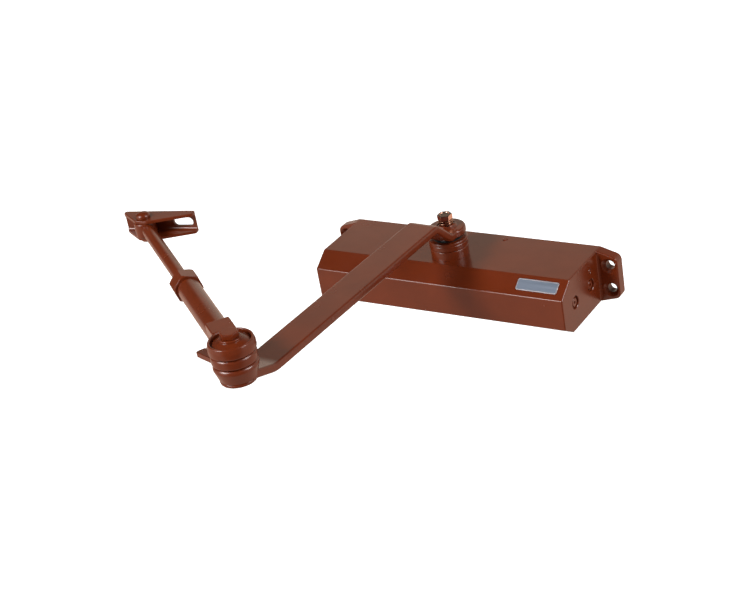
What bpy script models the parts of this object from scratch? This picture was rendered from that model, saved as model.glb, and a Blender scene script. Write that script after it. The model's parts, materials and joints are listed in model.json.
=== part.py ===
"""Surface-mounted hydraulic door closer with a folding double-lever arm.

Frame: the origin is the centre of the mounting face, +X runs along the body towards the
regulating screws, +Y points out of the mounting face into the door, and +Z runs up the spindle
towards the arm. The closer is modelled at rest, with the main arm square to the body.
"""

import math

import bmesh
import bpy
from mathutils import Vector

MM = 0.001

# Body casting
BODY_LENGTH = 211.0 * MM
BODY_DEPTH = 68.5 * MM
HALF_HEIGHT = 21.0 * MM
TOP_CHAMFER = (14.6 * MM, 9.8 * MM)
LOW_CHAMFER = (12.8 * MM, 8.3 * MM)
CAST_EDGE = 0.9 * MM
EAR_THICKNESS = 8.5 * MM
EAR_FILLET = 2.3 * MM
EAR_FILLET_HALF = 19.0 * MM
EAR_REACH = 16.0 * MM
EAR_TAPER = math.radians(16.5)
EAR_CORNER = 5.0 * MM
SCREW_INSET = 9.0 * MM
SCREW_PITCH = 19.0 * MM
SCREW_HOLE = 3.6 * MM
SCREW_SINK = 6.1 * MM

# Cylinder, piston and spring, all on one axis along X
CYLINDER_Y = -36.3 * MM
CYLINDER_RADIUS = 16.0 * MM
CYLINDER_END = 78.0 * MM
PLUG_RADIUS = 18.8 * MM
PLUG_DEPTH = 8.0 * MM
PISTON_RADIUS = 15.75 * MM
PISTON_LEFT = -21.0 * MM
PISTON_RIGHT = 74.0 * MM
SPRING_RADIUS = 11.6 * MM
SPRING_WIRE = 1.9 * MM
SPRING_TURNS = 8.5

# Pinion and its rack: the pitch radius sets the piston's travel per turn
PINION_X = -1.5 * MM
PINION_TEETH = 10
PITCH_RADIUS = 8.0 * MM
TOOTH_ADDENDUM = 1.4 * MM
TOOTH_DEDENDUM = 1.9 * MM
SWING = math.pi
GEAR_HALF_HEIGHT = 12.4 * MM
SQUARE_HALF = 5.0 * MM
JOURNAL_RADIUS = 7.5 * MM
LOWER_JOURNAL = 5.8 * MM

# Spindle stack above the body
BOSS_RADIUS = 14.35 * MM
BOSS_TOP = 28.4 * MM
LOWER_BOSS = -23.0 * MM
GLAND_RADIUS = 14.7 * MM
GLAND_TOP = 35.3 * MM
UPPER_BORE = 11.3 * MM
LOWER_BORE = 9.3 * MM

# Regulating screws in the right end
VALVE_YS = (-48.6 * MM, -22.1 * MM)
VALVE_RADIUS = 3.3 * MM
VALVE_RECESS = 4.9 * MM
VALVE_RECESS_DEPTH = 1.6 * MM
VALVE_FACE = 104.9 * MM

# Main arm: a bar cranked up from the eye, and up again to the elbow
ARM_LENGTH = 252.0 * MM
ARM_ANGLE = math.radians(-91.9)
ARM_HALF_WIDTH = 12.65 * MM
ARM_THICKNESS = 6.0 * MM
EYE_RADIUS = 14.35 * MM
EYE_BOTTOM = 38.5 * MM
EYE_TOP = 43.75 * MM
HUB_RADIUS = 7.0 * MM
HUB_TOP = 46.2 * MM
BAR_TOP = 59.5 * MM
CREST = 30.0 * MM
PAD_RISE = 6.3 * MM
PAD_START = 23.0 * MM
PAD_END = 4.0 * MM
ELBOW_RADIUS = 15.1 * MM
ELBOW_BOTTOM = 59.2 * MM
ELBOW_TAPER = 12.6 * MM
ELBOW_TOP = 73.2 * MM

# Elbow stack and forearm
FOREARM_ANGLE = math.radians(142.8)
FOREARM_LENGTH = 228.4 * MM
FOREARM_Z = 78.4 * MM
DISC_TOP = 80.5 * MM
CUP_RADIUS = 15.7 * MM
CUP_BOTTOM = 80.8 * MM
CUP_FLOOR = 85.0 * MM
CUP_TOP = 88.6 * MM
CUP_INNER = 13.3 * MM
ELBOW_NUT_BOTTOM = 90.6 * MM
ELBOW_NUT_TOP = 94.2 * MM
TUBE_RADIUS = 8.2 * MM
TUBE_START = 17.8 * MM
TUBE_END = 106.0 * MM
TUBE_BORE_START = 30.0 * MM
ROD_RADIUS = 5.0 * MM
ROD_START = 58.0 * MM
LOCK_NUT_LENGTH = 12.5 * MM
LOCK_NUT_FLATS = 19.0 * MM
LOCK_NUT_PHASE = math.radians(45)
PIN_RADIUS = 4.0 * MM

# Frame shoe, turned about its pin
SHOE_ANGLE = math.radians(13.6)
SHOE_BOTTOM = 70.1 * MM
SHOE_TOP = 86.6 * MM
SHOE_SHEET = 2.2 * MM
SHOE_LEFT = -20.0 * MM
SHOE_RIGHT = 37.8 * MM
SHOE_BACK = 10.9 * MM
SHOE_PIN = 3.0 * MM
ROD_EYE = 8.2 * MM
RIVET_SIDE = 1.5 * MM
RIVET_DOME = 3.0 * MM
RIVET_RADIUS = 5.3 * MM

# Ball plugs that close the drilled oilways: one in the top, one in the right end
PLUG_HOLE = 1.8 * MM
PLUG_LENGTH = 4.3 * MM
TOP_PLUG = (PINION_X + 31.3 * MM, -6.9 * MM, HALF_HEIGHT)
END_PLUG = (BODY_LENGTH / 2, -21.5 * MM, 11.1 * MM)

# Label plate let into the upper chamfer
LABEL_START = 66.0 * MM
LABEL_LENGTH = 33.2 * MM
LABEL_FROM_EDGE = 2.8 * MM
LABEL_HEIGHT = 10.0 * MM
LABEL_THICKNESS = 0.6 * MM

GAP = 0.3 * MM
ROUND = 36
SMALL_ROUND = 20
SMOOTH_ANGLE = math.radians(35)


def clear_scene():
    for obj in list(bpy.data.objects):
        bpy.data.objects.remove(obj, do_unlink=True)


def make_material(name, colour, metallic, roughness):
    material = bpy.data.materials.new(name)
    material.use_nodes = True
    shader = material.node_tree.nodes["Principled BSDF"]
    shader.inputs["Base Color"].default_value = (*colour, 1.0)
    shader.inputs["Metallic"].default_value = metallic
    shader.inputs["Roughness"].default_value = roughness
    return material


def make_empty(name, location, angle=0.0, parent=None):
    empty = bpy.data.objects.new(name, None)
    bpy.context.collection.objects.link(empty)
    empty.location = location
    empty.rotation_euler = (0.0, 0.0, angle)
    empty.parent = parent
    return empty


def add_object(name, mesh_data, material, parent=None, location=(0, 0, 0), along_x=False):
    """Turn a bmesh into a smooth-shaded object; along_x lays a shape turned about Z along X."""
    bmesh.ops.recalc_face_normals(mesh_data, faces=mesh_data.faces)
    mesh = bpy.data.meshes.new(name)
    mesh_data.to_mesh(mesh)
    mesh_data.free()
    mesh.shade_smooth()
    mesh.set_sharp_from_angle(angle=SMOOTH_ANGLE)
    obj = bpy.data.objects.new(name, mesh)
    bpy.context.collection.objects.link(obj)
    obj.location = location
    if along_x:
        obj.rotation_euler = (0.0, math.pi / 2, 0.0)
    obj.parent = parent
    if material:
        mesh.materials.append(material)
    return obj


def add_helper(name, mesh_data, **placing):
    """A shape that only cuts or joins another one."""
    helper = add_object(name, mesh_data, None, **placing)
    helper.hide_render = True
    helper.display_type = "WIRE"
    return helper


def combine(obj, helper, operation="DIFFERENCE"):
    modifier = obj.modifiers.new(helper.name, "BOOLEAN")
    modifier.operation = operation
    modifier.object = helper
    modifier.solver = "EXACT"


def combine_all(obj, helpers, operation, name):
    """One Boolean with several helpers, held in a collection of their own."""
    group = bpy.data.collections.new(name)
    bpy.context.scene.collection.children.link(group)
    for helper in helpers:
        bpy.context.collection.objects.unlink(helper)
        group.objects.link(helper)
    modifier = obj.modifiers.new(name, "BOOLEAN")
    modifier.operation = operation
    modifier.operand_type = "COLLECTION"
    modifier.collection = group
    modifier.solver = "EXACT"


def bevel(obj, width, segments, angle=math.radians(30)):
    modifier = obj.modifiers.new("edge_rounding", "BEVEL")
    modifier.width = width
    modifier.segments = segments
    modifier.limit_method = "ANGLE"
    modifier.angle_limit = angle


def circle_points(radius, count, height=0.0, phase=0.0):
    step = 2 * math.pi / count
    return [
        Vector((radius * math.cos(phase + i * step), radius * math.sin(phase + i * step), height))
        for i in range(count)
    ]


def stacked(rings, closed_loop=False):
    """Join rings of points into a closed surface; a ring of one point is a pole."""
    shape = bmesh.new()
    made = [[shape.verts.new(point) for point in ring] for ring in rings]
    pairs = list(zip(made, made[1:]))
    if closed_loop:
        pairs.append((made[-1], made[0]))
    for lower, upper in pairs:
        count = max(len(lower), len(upper))
        for i in range(count):
            j = (i + 1) % count
            corners = [lower[i % len(lower)], lower[j % len(lower)]]
            corners += [upper[j % len(upper)], upper[i % len(upper)]]
            shape.faces.new(list(dict.fromkeys(corners)))
    if not closed_loop:
        for ring in (made[0], made[-1]):
            if len(ring) > 2:
                shape.faces.new(ring)
    return shape


def turned(profile, segments=ROUND):
    """A solid of revolution about Z from (radius, height) points, in order round its section."""
    on_axis = profile[0][0] == 0.0
    rings = [
        [Vector((0.0, 0.0, height))] if radius == 0.0 else circle_points(radius, segments, height)
        for radius, height in profile
    ]
    return stacked(rings, closed_loop=not on_axis)


def cylinder(radius, start, end, segments=ROUND):
    return turned([(0.0, start), (radius, start), (radius, end), (0.0, end)], segments)


def washer(inner, outer, start, end, segments=ROUND):
    return turned([(inner, start), (outer, start), (outer, end), (inner, end)], segments)


def torus(major, minor, height=0.0, segments=ROUND, sides=8):
    step = 2 * math.pi / sides
    profile = [
        (major + minor * math.cos(i * step), height + minor * math.sin(i * step))
        for i in range(sides)
    ]
    return turned(profile, segments)


def prism(outline, start, end, up="Z"):
    """An outline drawn in the plane square to the up axis, given a thickness along it."""
    place = {
        "X": lambda a, b, c: Vector((c, a, b)),
        "Y": lambda a, b, c: Vector((a, c, b)),
        "Z": lambda a, b, c: Vector((a, b, c)),
    }[up]
    return stacked([[place(a, b, level) for a, b in outline] for level in (start, end)])


def block(low, high):
    outline = [(low[0], low[1]), (high[0], low[1]), (high[0], high[1]), (low[0], high[1])]
    return prism(outline, low[2], high[2])


def hexagon(flats, phase=0.0):
    return [(p.x, p.y) for p in circle_points(flats / math.sqrt(3), 6, phase=phase)]


def arc(centre, radius, start, end, steps):
    """Points on an arc, both ends included; the angles are in degrees."""
    turns = [math.radians(start + (end - start) * i / steps) for i in range(steps + 1)]
    return [
        (centre[0] + radius * math.cos(turn), centre[1] + radius * math.sin(turn))
        for turn in turns
    ]


def slot_outline(left, right, middle, half_height, steps=6):
    first = arc((right - half_height, middle), half_height, -90, 90, steps)
    return first + arc((left + half_height, middle), half_height, 90, 270, steps)


def ear_outline(side):
    """Front view of one ear: its root buried in the bar's end, its free corners rounded."""
    root = BODY_LENGTH / 2 - 1.5 * MM
    centre_x = BODY_LENGTH / 2 + EAR_REACH - EAR_CORNER
    drop = math.tan(EAR_TAPER) * (EAR_REACH - EAR_CORNER)
    centre_z = HALF_HEIGHT - drop - EAR_CORNER / math.cos(EAR_TAPER)
    upper = arc((centre_x, centre_z), EAR_CORNER, 90 - math.degrees(EAR_TAPER), 0, 4)
    half = [(root, HALF_HEIGHT - 0.2 * MM), *upper]
    outline = half + [(x, -z) for x, z in reversed(half)]
    return [(side * x, z) for x, z in outline]


def ear_fillet(side):
    """Plan of the concave blend between the bar's end and the front of one ear."""
    end = BODY_LENGTH / 2
    inside = 1 * MM
    sunk = 0.05 * MM
    centre = (end + EAR_FILLET - sunk, sunk - EAR_THICKNESS - EAR_FILLET)
    outline = [
        *arc(centre, EAR_FILLET, 90, 180, 4),
        (end - inside, centre[1]),
        (end - inside, inside - EAR_THICKNESS),
        (centre[0], inside - EAR_THICKNESS),
    ]
    return [(side * x, y) for x, y in outline]


def housing_bar():
    """The chamfered bar of the casting, its edges rounded except round the mounting face."""
    front = -BODY_DEPTH
    section = [
        (0.0, HALF_HEIGHT),
        (front + TOP_CHAMFER[0], HALF_HEIGHT),
        (front, HALF_HEIGHT - TOP_CHAMFER[1]),
        (front, LOW_CHAMFER[1] - HALF_HEIGHT),
        (front + LOW_CHAMFER[0], -HALF_HEIGHT),
        (0.0, -HALF_HEIGHT),
    ]
    shape = prism(section, -BODY_LENGTH / 2, BODY_LENGTH / 2, up="X")
    rounded = [edge for edge in shape.edges if any(v.co.y < -1 * MM for v in edge.verts)]
    bmesh.ops.bevel(
        shape, geom=rounded, offset=CAST_EDGE, segments=2, profile=0.5, affect="EDGES"
    )
    return shape


def chamfer_frame():
    """Top edge point, unit direction down the upper chamfer, and its outward normal, in YZ."""
    edge = Vector((0.0, TOP_CHAMFER[0] - BODY_DEPTH, HALF_HEIGHT))
    down = Vector((0.0, -TOP_CHAMFER[0], -TOP_CHAMFER[1])).normalized()
    return edge, down, Vector((0.0, down.z, -down.y))


def chamfer_plate(length, height, low, high, inset):
    """A flat plate on the upper chamfer, from low to high above its surface."""
    edge, down, normal = chamfer_frame()
    start = LABEL_START + inset
    rings = []
    for level in (low, high):
        ring = []
        for x, slide in ((0, 0), (length, 0), (length, height), (0, height)):
            point = edge + down * (LABEL_FROM_EDGE + inset + slide) + normal * level
            ring.append(point + Vector((start + x, 0.0, 0.0)))
        rings.append(ring)
    return stacked(rings)


def build_housing(paint, spindle):
    housing = add_object("body_housing", housing_bar(), paint)
    for name, side in (("left_ear", -1), ("right_ear", 1)):
        ear = prism(ear_outline(side), -EAR_THICKNESS, 0.0, up="Y")
        combine(housing, add_helper(name, ear), "UNION")
        blend = prism(ear_fillet(side), -EAR_FILLET_HALF, EAR_FILLET_HALF)
        combine(housing, add_helper(f"{name}_fillet", blend), "UNION")
    upper_boss = cylinder(BOSS_RADIUS, HALF_HEIGHT - 2 * MM, BOSS_TOP)
    combine(housing, add_helper("upper_boss", upper_boss, parent=spindle), "UNION")
    lower_boss = cylinder(BOSS_RADIUS, LOWER_BOSS, 2 * MM - HALF_HEIGHT)
    combine(housing, add_helper("lower_boss", lower_boss, parent=spindle), "UNION")
    end = BODY_LENGTH / 2
    over = 1 * MM
    bore = [
        (0.0, -end - over),
        (PLUG_RADIUS, -end - over),
        (PLUG_RADIUS, -end + PLUG_DEPTH),
        (CYLINDER_RADIUS, -end + PLUG_DEPTH),
        (CYLINDER_RADIUS, CYLINDER_END),
        (0.0, CYLINDER_END),
    ]
    valve_bore = [
        (0.0, CYLINDER_END - over),
        (1 * MM, CYLINDER_END - over),
        (1 * MM, 82 * MM),
        (VALVE_RADIUS + GAP, 82 * MM),
        (VALVE_RADIUS + GAP, end - VALVE_RECESS_DEPTH),
        (VALVE_RECESS, end - VALVE_RECESS_DEPTH),
        (VALVE_RECESS, end + over),
        (0.0, end + over),
    ]
    along = [("cylinder_cut", CYLINDER_Y, bore, ROUND)]
    along += [(f"valve_cut_{i}", y, valve_bore, SMALL_ROUND) for i, y in enumerate(VALVE_YS)]
    cutters = [
        add_helper(name, turned(profile, segments), location=(0, y, 0), along_x=True)
        for name, y, profile, segments in along
    ]
    upright = [
        (0.0, -25 * MM),
        (LOWER_BORE, -25 * MM),
        (LOWER_BORE, 0.0),
        (UPPER_BORE, 0.0),
        (UPPER_BORE, 30 * MM),
        (0.0, 30 * MM),
    ]
    cutters.append(add_helper("spindle_bore_cut", turned(upright), parent=spindle))
    sink = [
        (0.0, -over),
        (SCREW_SINK + over, -over),
        (SCREW_HOLE, SCREW_SINK - SCREW_HOLE),
        (SCREW_HOLE, EAR_THICKNESS + over),
        (0.0, EAR_THICKNESS + over),
    ]
    for side in (-1, 1):
        for level in (-1, 1):
            cut = add_helper(
                f"ear_hole_cut_{side}_{level}",
                turned(sink, SMALL_ROUND),
                location=(side * (end + SCREW_INSET), -EAR_THICKNESS, level * SCREW_PITCH / 2),
            )
            cut.rotation_euler = (-math.pi / 2, 0.0, 0.0)
            cutters.append(cut)
    for name, place, along_x in (("top", TOP_PLUG, False), ("end", END_PLUG, True)):
        hole = cylinder(PLUG_HOLE, -PLUG_LENGTH - GAP, over, 16)
        helper = add_helper(f"{name}_plug_cut", hole, location=place, along_x=along_x)
        cutters.append(helper)
    seat = chamfer_plate(LABEL_LENGTH, LABEL_HEIGHT, -0.8 * MM, 1 * MM, 0.0)
    cutters.append(add_helper("label_seat_cut", seat))
    combine_all(housing, cutters, "DIFFERENCE", "housing_cuts")


def build_body_fittings(finishes):
    steel, rubber, label = finishes["steel"], finishes["rubber"], finishes["label"]
    for name, place, along_x in (
        ("ball_plug", TOP_PLUG, False),
        ("end_ball_plug", END_PLUG, True),
    ):
        radius = PLUG_HOLE - GAP
        profile = [(0, -PLUG_LENGTH), (radius, -PLUG_LENGTH), (radius, 0), (0, 0.3 * MM)]
        plug = turned(profile, 16)
        add_object(name, plug, finishes["paint"], location=place, along_x=along_x)
    plate = chamfer_plate(
        LABEL_LENGTH - 2 * GAP, LABEL_HEIGHT - 2 * GAP, -0.5 * MM, LABEL_THICKNESS - 0.5 * MM, GAP
    )
    add_object("label_plate", plate, label)
    end = BODY_LENGTH / 2
    plug_profile = [
        (0.0, -end + 6.5 * MM),
        (5.5 * MM, -end + 6.5 * MM),
        (5.5 * MM, -end + 0.4 * MM),
        (PLUG_RADIUS - 1.3 * MM, -end + 0.4 * MM),
        (PLUG_RADIUS - GAP, -end + 1.4 * MM),
        (PLUG_RADIUS - GAP, -end + PLUG_DEPTH - GAP),
        (CYLINDER_RADIUS - GAP, -end + PLUG_DEPTH - GAP),
        (CYLINDER_RADIUS - GAP, -end + 10 * MM),
        (13.4 * MM, -end + 10 * MM),
        (13.4 * MM, -end + 12.8 * MM),
        (CYLINDER_RADIUS - GAP, -end + 12.8 * MM),
        (CYLINDER_RADIUS - GAP, -end + 14.5 * MM),
        (0.0, -end + 14.5 * MM),
    ]
    axis = {"location": (0, CYLINDER_Y, 0), "along_x": True}
    add_object("end_plug", turned(plug_profile), finishes["plug"], **axis)
    ring = torus(14.65 * MM, 0.95 * MM, -end + 11.4 * MM, 28, 6)
    add_object("end_plug_o_ring", ring, rubber, **axis)
    seat_end = -end + 16.8 * MM
    seat = washer(7 * MM, 15 * MM, seat_end - 2 * MM, seat_end)
    add_object("spring_seat", seat, steel, **axis)
    return seat_end + GAP


def spring_shape(start, end):
    """A round wire wound along X between two planes."""
    per_turn = 14
    sides = 6
    count = round(SPRING_TURNS * per_turn)
    first = start + SPRING_WIRE
    travel = end - SPRING_WIRE - first
    rings = []
    for i in range(count + 1):
        turn = 2 * math.pi * i / per_turn
        outward = Vector((0.0, math.cos(turn), math.sin(turn)))
        centre = outward * SPRING_RADIUS + Vector((first + travel * i / count, 0.0, 0.0))
        rings.append(
            [
                centre
                + outward * SPRING_WIRE * math.cos(2 * math.pi * k / sides)
                + Vector((SPRING_WIRE * math.sin(2 * math.pi * k / sides), 0.0, 0.0))
                for k in range(sides)
            ]
        )
    return stacked(rings)


def rack_slot():
    """Outline of the slot through the piston, its far side cut with the rack's teeth."""
    travel = PITCH_RADIUS * SWING
    clear = PITCH_RADIUS + TOOTH_ADDENDUM + 0.8 * MM
    left = PINION_X - clear
    right = PINION_X + travel + clear
    pitch = 2 * math.pi * PITCH_RADIUS / PINION_TEETH
    tip = CYLINDER_Y + PITCH_RADIUS - TOOTH_ADDENDUM
    root = CYLINDER_Y + PITCH_RADIUS + TOOTH_DEDENDUM
    outline = [(left, CYLINDER_Y - clear), (right, CYLINDER_Y - clear), (right, root)]
    teeth = int((right - left) / pitch)
    first = PINION_X + pitch / 2 - pitch
    for i in reversed(range(teeth + 1)):
        centre = first + i * pitch
        for offset, depth in ((0.27, root), (0.14, tip), (-0.14, tip), (-0.27, root)):
            x = centre + offset * pitch
            if left + 0.3 * MM < x < right - 0.3 * MM:
                outline.append((x, depth))
    outline.append((left, root))
    return outline


def build_piston(finishes):
    steel = finishes["steel"]
    pocket = 50 * MM
    profile = [
        (0.0, PISTON_LEFT),
        (14.8 * MM, PISTON_LEFT),
        (PISTON_RADIUS, PISTON_LEFT + 1 * MM),
        (PISTON_RADIUS, 66 * MM),
        (14 * MM, 66 * MM),
        (14 * MM, 69 * MM),
        (PISTON_RADIUS, 69 * MM),
        (PISTON_RADIUS, PISTON_RIGHT),
        (9 * MM, PISTON_RIGHT),
        (9 * MM, pocket),
        (3 * MM, pocket),
        (3 * MM, pocket - 5 * MM),
        (0.0, pocket - 5 * MM),
    ]
    axis = {"location": (0, CYLINDER_Y, 0), "along_x": True}
    piston = add_object("piston", turned(profile), steel, **axis)
    combine(piston, add_helper("rack_slot_cut", prism(rack_slot(), -17 * MM, 17 * MM)))
    combine(piston, add_helper("check_way_cut", cylinder(1.5 * MM, 30 * MM, 46 * MM, 12), **axis))
    ring = washer(14.3 * MM, 15.7 * MM, 66.3 * MM, 68.7 * MM)
    add_object("piston_ring", ring, finishes["seal"], **axis)
    ball = bmesh.new()
    bmesh.ops.create_uvsphere(ball, u_segments=12, v_segments=8, radius=2.4 * MM)
    add_object("check_ball", ball, steel, location=(47.7 * MM, CYLINDER_Y, 0))
    retainer = washer(1.6 * MM, 8.6 * MM, pocket + GAP, pocket + 1.5 * MM, SMALL_ROUND)
    add_object("check_retainer", retainer, steel, **axis)
    return PISTON_LEFT - GAP


def square_points(half, count, height):
    """Points round a square, in step with circle_points."""
    ring = []
    for point in circle_points(1.0, count, height):
        stretch = half / max(abs(point.x), abs(point.y))
        ring.append(Vector((point.x * stretch, point.y * stretch, height)))
    return ring


def gear_points(height):
    """Four points per tooth: root, tip, tip, root."""
    ring = []
    tip = PITCH_RADIUS + TOOTH_ADDENDUM
    root = PITCH_RADIUS - TOOTH_DEDENDUM
    for tooth in range(PINION_TEETH):
        for offset, radius in ((-0.36, root), (-0.15, tip), (0.15, tip), (0.36, root)):
            turn = 2 * math.pi * (tooth + offset) / PINION_TEETH + math.pi / 2
            ring.append(Vector((radius * math.cos(turn), radius * math.sin(turn), height)))
    return ring


def build_spindle(finishes, spindle):
    steel = finishes["steel"]
    count = 4 * PINION_TEETH

    def round_ring(radius, height):
        return circle_points(radius, count, height, math.pi / 2 - 0.36 * 2 * math.pi / PINION_TEETH)

    def square_ring(half, height):
        return square_points(half, count, height)

    shaft = stacked(
        [
            circle_points(LOWER_JOURNAL, count, -25.0 * MM),
            circle_points(LOWER_JOURNAL, count, -GEAR_HALF_HEIGHT - 1 * MM),
            round_ring(LOWER_JOURNAL, -GEAR_HALF_HEIGHT),
            gear_points(-GEAR_HALF_HEIGHT),
            gear_points(GEAR_HALF_HEIGHT),
            round_ring(LOWER_JOURNAL, GEAR_HALF_HEIGHT),
            circle_points(LOWER_JOURNAL, count, 15.5 * MM),
            circle_points(JOURNAL_RADIUS, count, 16.3 * MM),
            circle_points(JOURNAL_RADIUS, count, 36.4 * MM),
            square_ring(SQUARE_HALF, 36.4 * MM),
            square_ring(SQUARE_HALF, 45.6 * MM),
            circle_points(2.75 * MM, count, 45.6 * MM),
            circle_points(2.75 * MM, count, 31.0 * MM),
            [Vector((0.0, 0.0, 30.0 * MM))],
        ]
    )
    add_object("pinion_shaft", shaft, steel, parent=spindle)
    upper = washer(JOURNAL_RADIUS + 0.15 * MM, UPPER_BORE - GAP, 16.6 * MM, 26 * MM, 32)
    add_object("upper_bearing", upper, finishes["bearing"], parent=spindle)
    lower = washer(LOWER_JOURNAL + 0.2 * MM, LOWER_BORE - GAP, -21.2 * MM, -16.4 * MM, 32)
    add_object("lower_bearing", lower, finishes["bearing"], parent=spindle)
    gland = [
        (JOURNAL_RADIUS + 0.4 * MM, 26.3 * MM),
        (UPPER_BORE - GAP, 26.3 * MM),
        (UPPER_BORE - GAP, BOSS_TOP + GAP),
        (GLAND_RADIUS, BOSS_TOP + GAP),
        (GLAND_RADIUS, GLAND_TOP - 0.8 * MM),
        (GLAND_RADIUS - 0.8 * MM, GLAND_TOP),
        (10.8 * MM, GLAND_TOP),
        (10.8 * MM, 31.4 * MM),
        (JOURNAL_RADIUS + 0.4 * MM, 31.4 * MM),
    ]
    add_object("spindle_gland", turned(gland), finishes["paint"], parent=spindle)
    seal = washer(JOURNAL_RADIUS + 0.2 * MM, 10.5 * MM, 31.7 * MM, 34.6 * MM, 32)
    add_object("upper_shaft_seal", seal, finishes["rubber"], parent=spindle)
    lower_gland = [
        (7.4 * MM, -21.5 * MM),
        (7.4 * MM, LOWER_BOSS - GAP),
        (LOWER_JOURNAL + 0.3 * MM, LOWER_BOSS - GAP),
        (LOWER_JOURNAL + 0.3 * MM, -25.0 * MM),
        (12.0 * MM, -25.0 * MM),
        (12.0 * MM, LOWER_BOSS - GAP),
        (LOWER_BORE - GAP, LOWER_BOSS - GAP),
        (LOWER_BORE - GAP, -21.5 * MM),
    ]
    add_object("lower_gland", turned(lower_gland, 32), steel, parent=spindle)
    lower_seal = washer(LOWER_JOURNAL + 0.2 * MM, 7.2 * MM, -23.0 * MM, -21.6 * MM, 32)
    add_object("lower_shaft_seal", lower_seal, finishes["rubber"], parent=spindle)
    cap = [
        (0.0, -26.9 * MM),
        (9.2 * MM, -26.9 * MM),
        (10 * MM, -26.1 * MM),
        (10 * MM, -25.3 * MM),
        (0.0, -25.3 * MM),
    ]
    add_object("spindle_cap", turned(cap, 40), finishes["plastic"], parent=spindle)


def build_valves(finishes):
    for name, y in zip(("sweep_valve", "latch_valve"), VALVE_YS):
        profile = [
            (0.0, 84 * MM),
            (1.2 * MM, 85.5 * MM),
            (VALVE_RADIUS, 90 * MM),
            (VALVE_RADIUS, 95 * MM),
            (2.1 * MM, 95 * MM),
            (2.1 * MM, 97 * MM),
            (VALVE_RADIUS, 97 * MM),
            (VALVE_RADIUS, VALVE_FACE),
            (0.0, VALVE_FACE),
        ]
        axis = {"location": (0, y, 0), "along_x": True}
        screw = add_object(name, turned(profile, SMALL_ROUND), finishes["paint"], **axis)
        slot = block(
            (VALVE_FACE - 1.6 * MM, -0.55 * MM, -5 * MM), (VALVE_FACE + 1 * MM, 0.55 * MM, 5 * MM)
        )
        combine(screw, add_helper(f"{name}_slot_cut", slot, location=(0, y, 0)))
        ring = torus(2.78 * MM, 0.5 * MM, 96 * MM, 16, 6)
        add_object(f"{name}_o_ring", ring, finishes["rubber"], **axis)


def hex_piece(name, flats, span, bore, material, parent, along_x=False, phase=0.0):
    """A nut or a bolt head: a hexagonal prism with its corners turned off at both ends.

    span is its two ends; bore is the hole's radius and far end, or None for a solid head.
    """
    start, end = span
    corner = flats / math.sqrt(3)
    shape = prism(hexagon(flats, phase), start, end)
    nut = add_object(name, shape, material, parent, along_x=along_x)
    slope = corner * 0.12
    rounder = turned(
        [
            (0.0, start - slope * 0.2),
            (flats * 0.48, start - slope * 0.2),
            (corner + 0.1 * MM, start + slope),
            (corner + 0.1 * MM, end - slope),
            (flats * 0.48, end + slope * 0.2),
            (0.0, end + slope * 0.2),
        ],
        SMALL_ROUND,
    )
    placing = {"parent": parent, "along_x": along_x}
    combine(nut, add_helper(f"{name}_rounder", rounder, **placing), "INTERSECT")
    if bore:
        radius, far_end = bore
        hole = cylinder(radius, start - 1 * MM, far_end, SMALL_ROUND)
        combine(nut, add_helper(f"{name}_bore_cut", hole, **placing))
    return nut


def arm_side_outline():
    """Side view of the cranked bar: (distance from the spindle, height)."""
    low = BAR_TOP - ARM_THICKNESS
    pad_start = ARM_LENGTH - PAD_START
    pad_end = ARM_LENGTH - PAD_END
    finish = ARM_LENGTH + 1 * MM
    return [
        (3 * MM, EYE_BOTTOM + 0.2 * MM),
        (13 * MM, EYE_BOTTOM + 0.2 * MM),
        (CREST + 0.5 * MM, low),
        (pad_start + 1 * MM, low),
        (pad_end + 1 * MM, low + PAD_RISE),
        (finish, low + PAD_RISE),
        (finish, BAR_TOP + PAD_RISE),
        (pad_end, BAR_TOP + PAD_RISE),
        (pad_start, BAR_TOP),
        (CREST, BAR_TOP),
        (13 * MM, EYE_TOP - 0.2 * MM),
        (3 * MM, EYE_TOP - 0.2 * MM),
    ]


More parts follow.
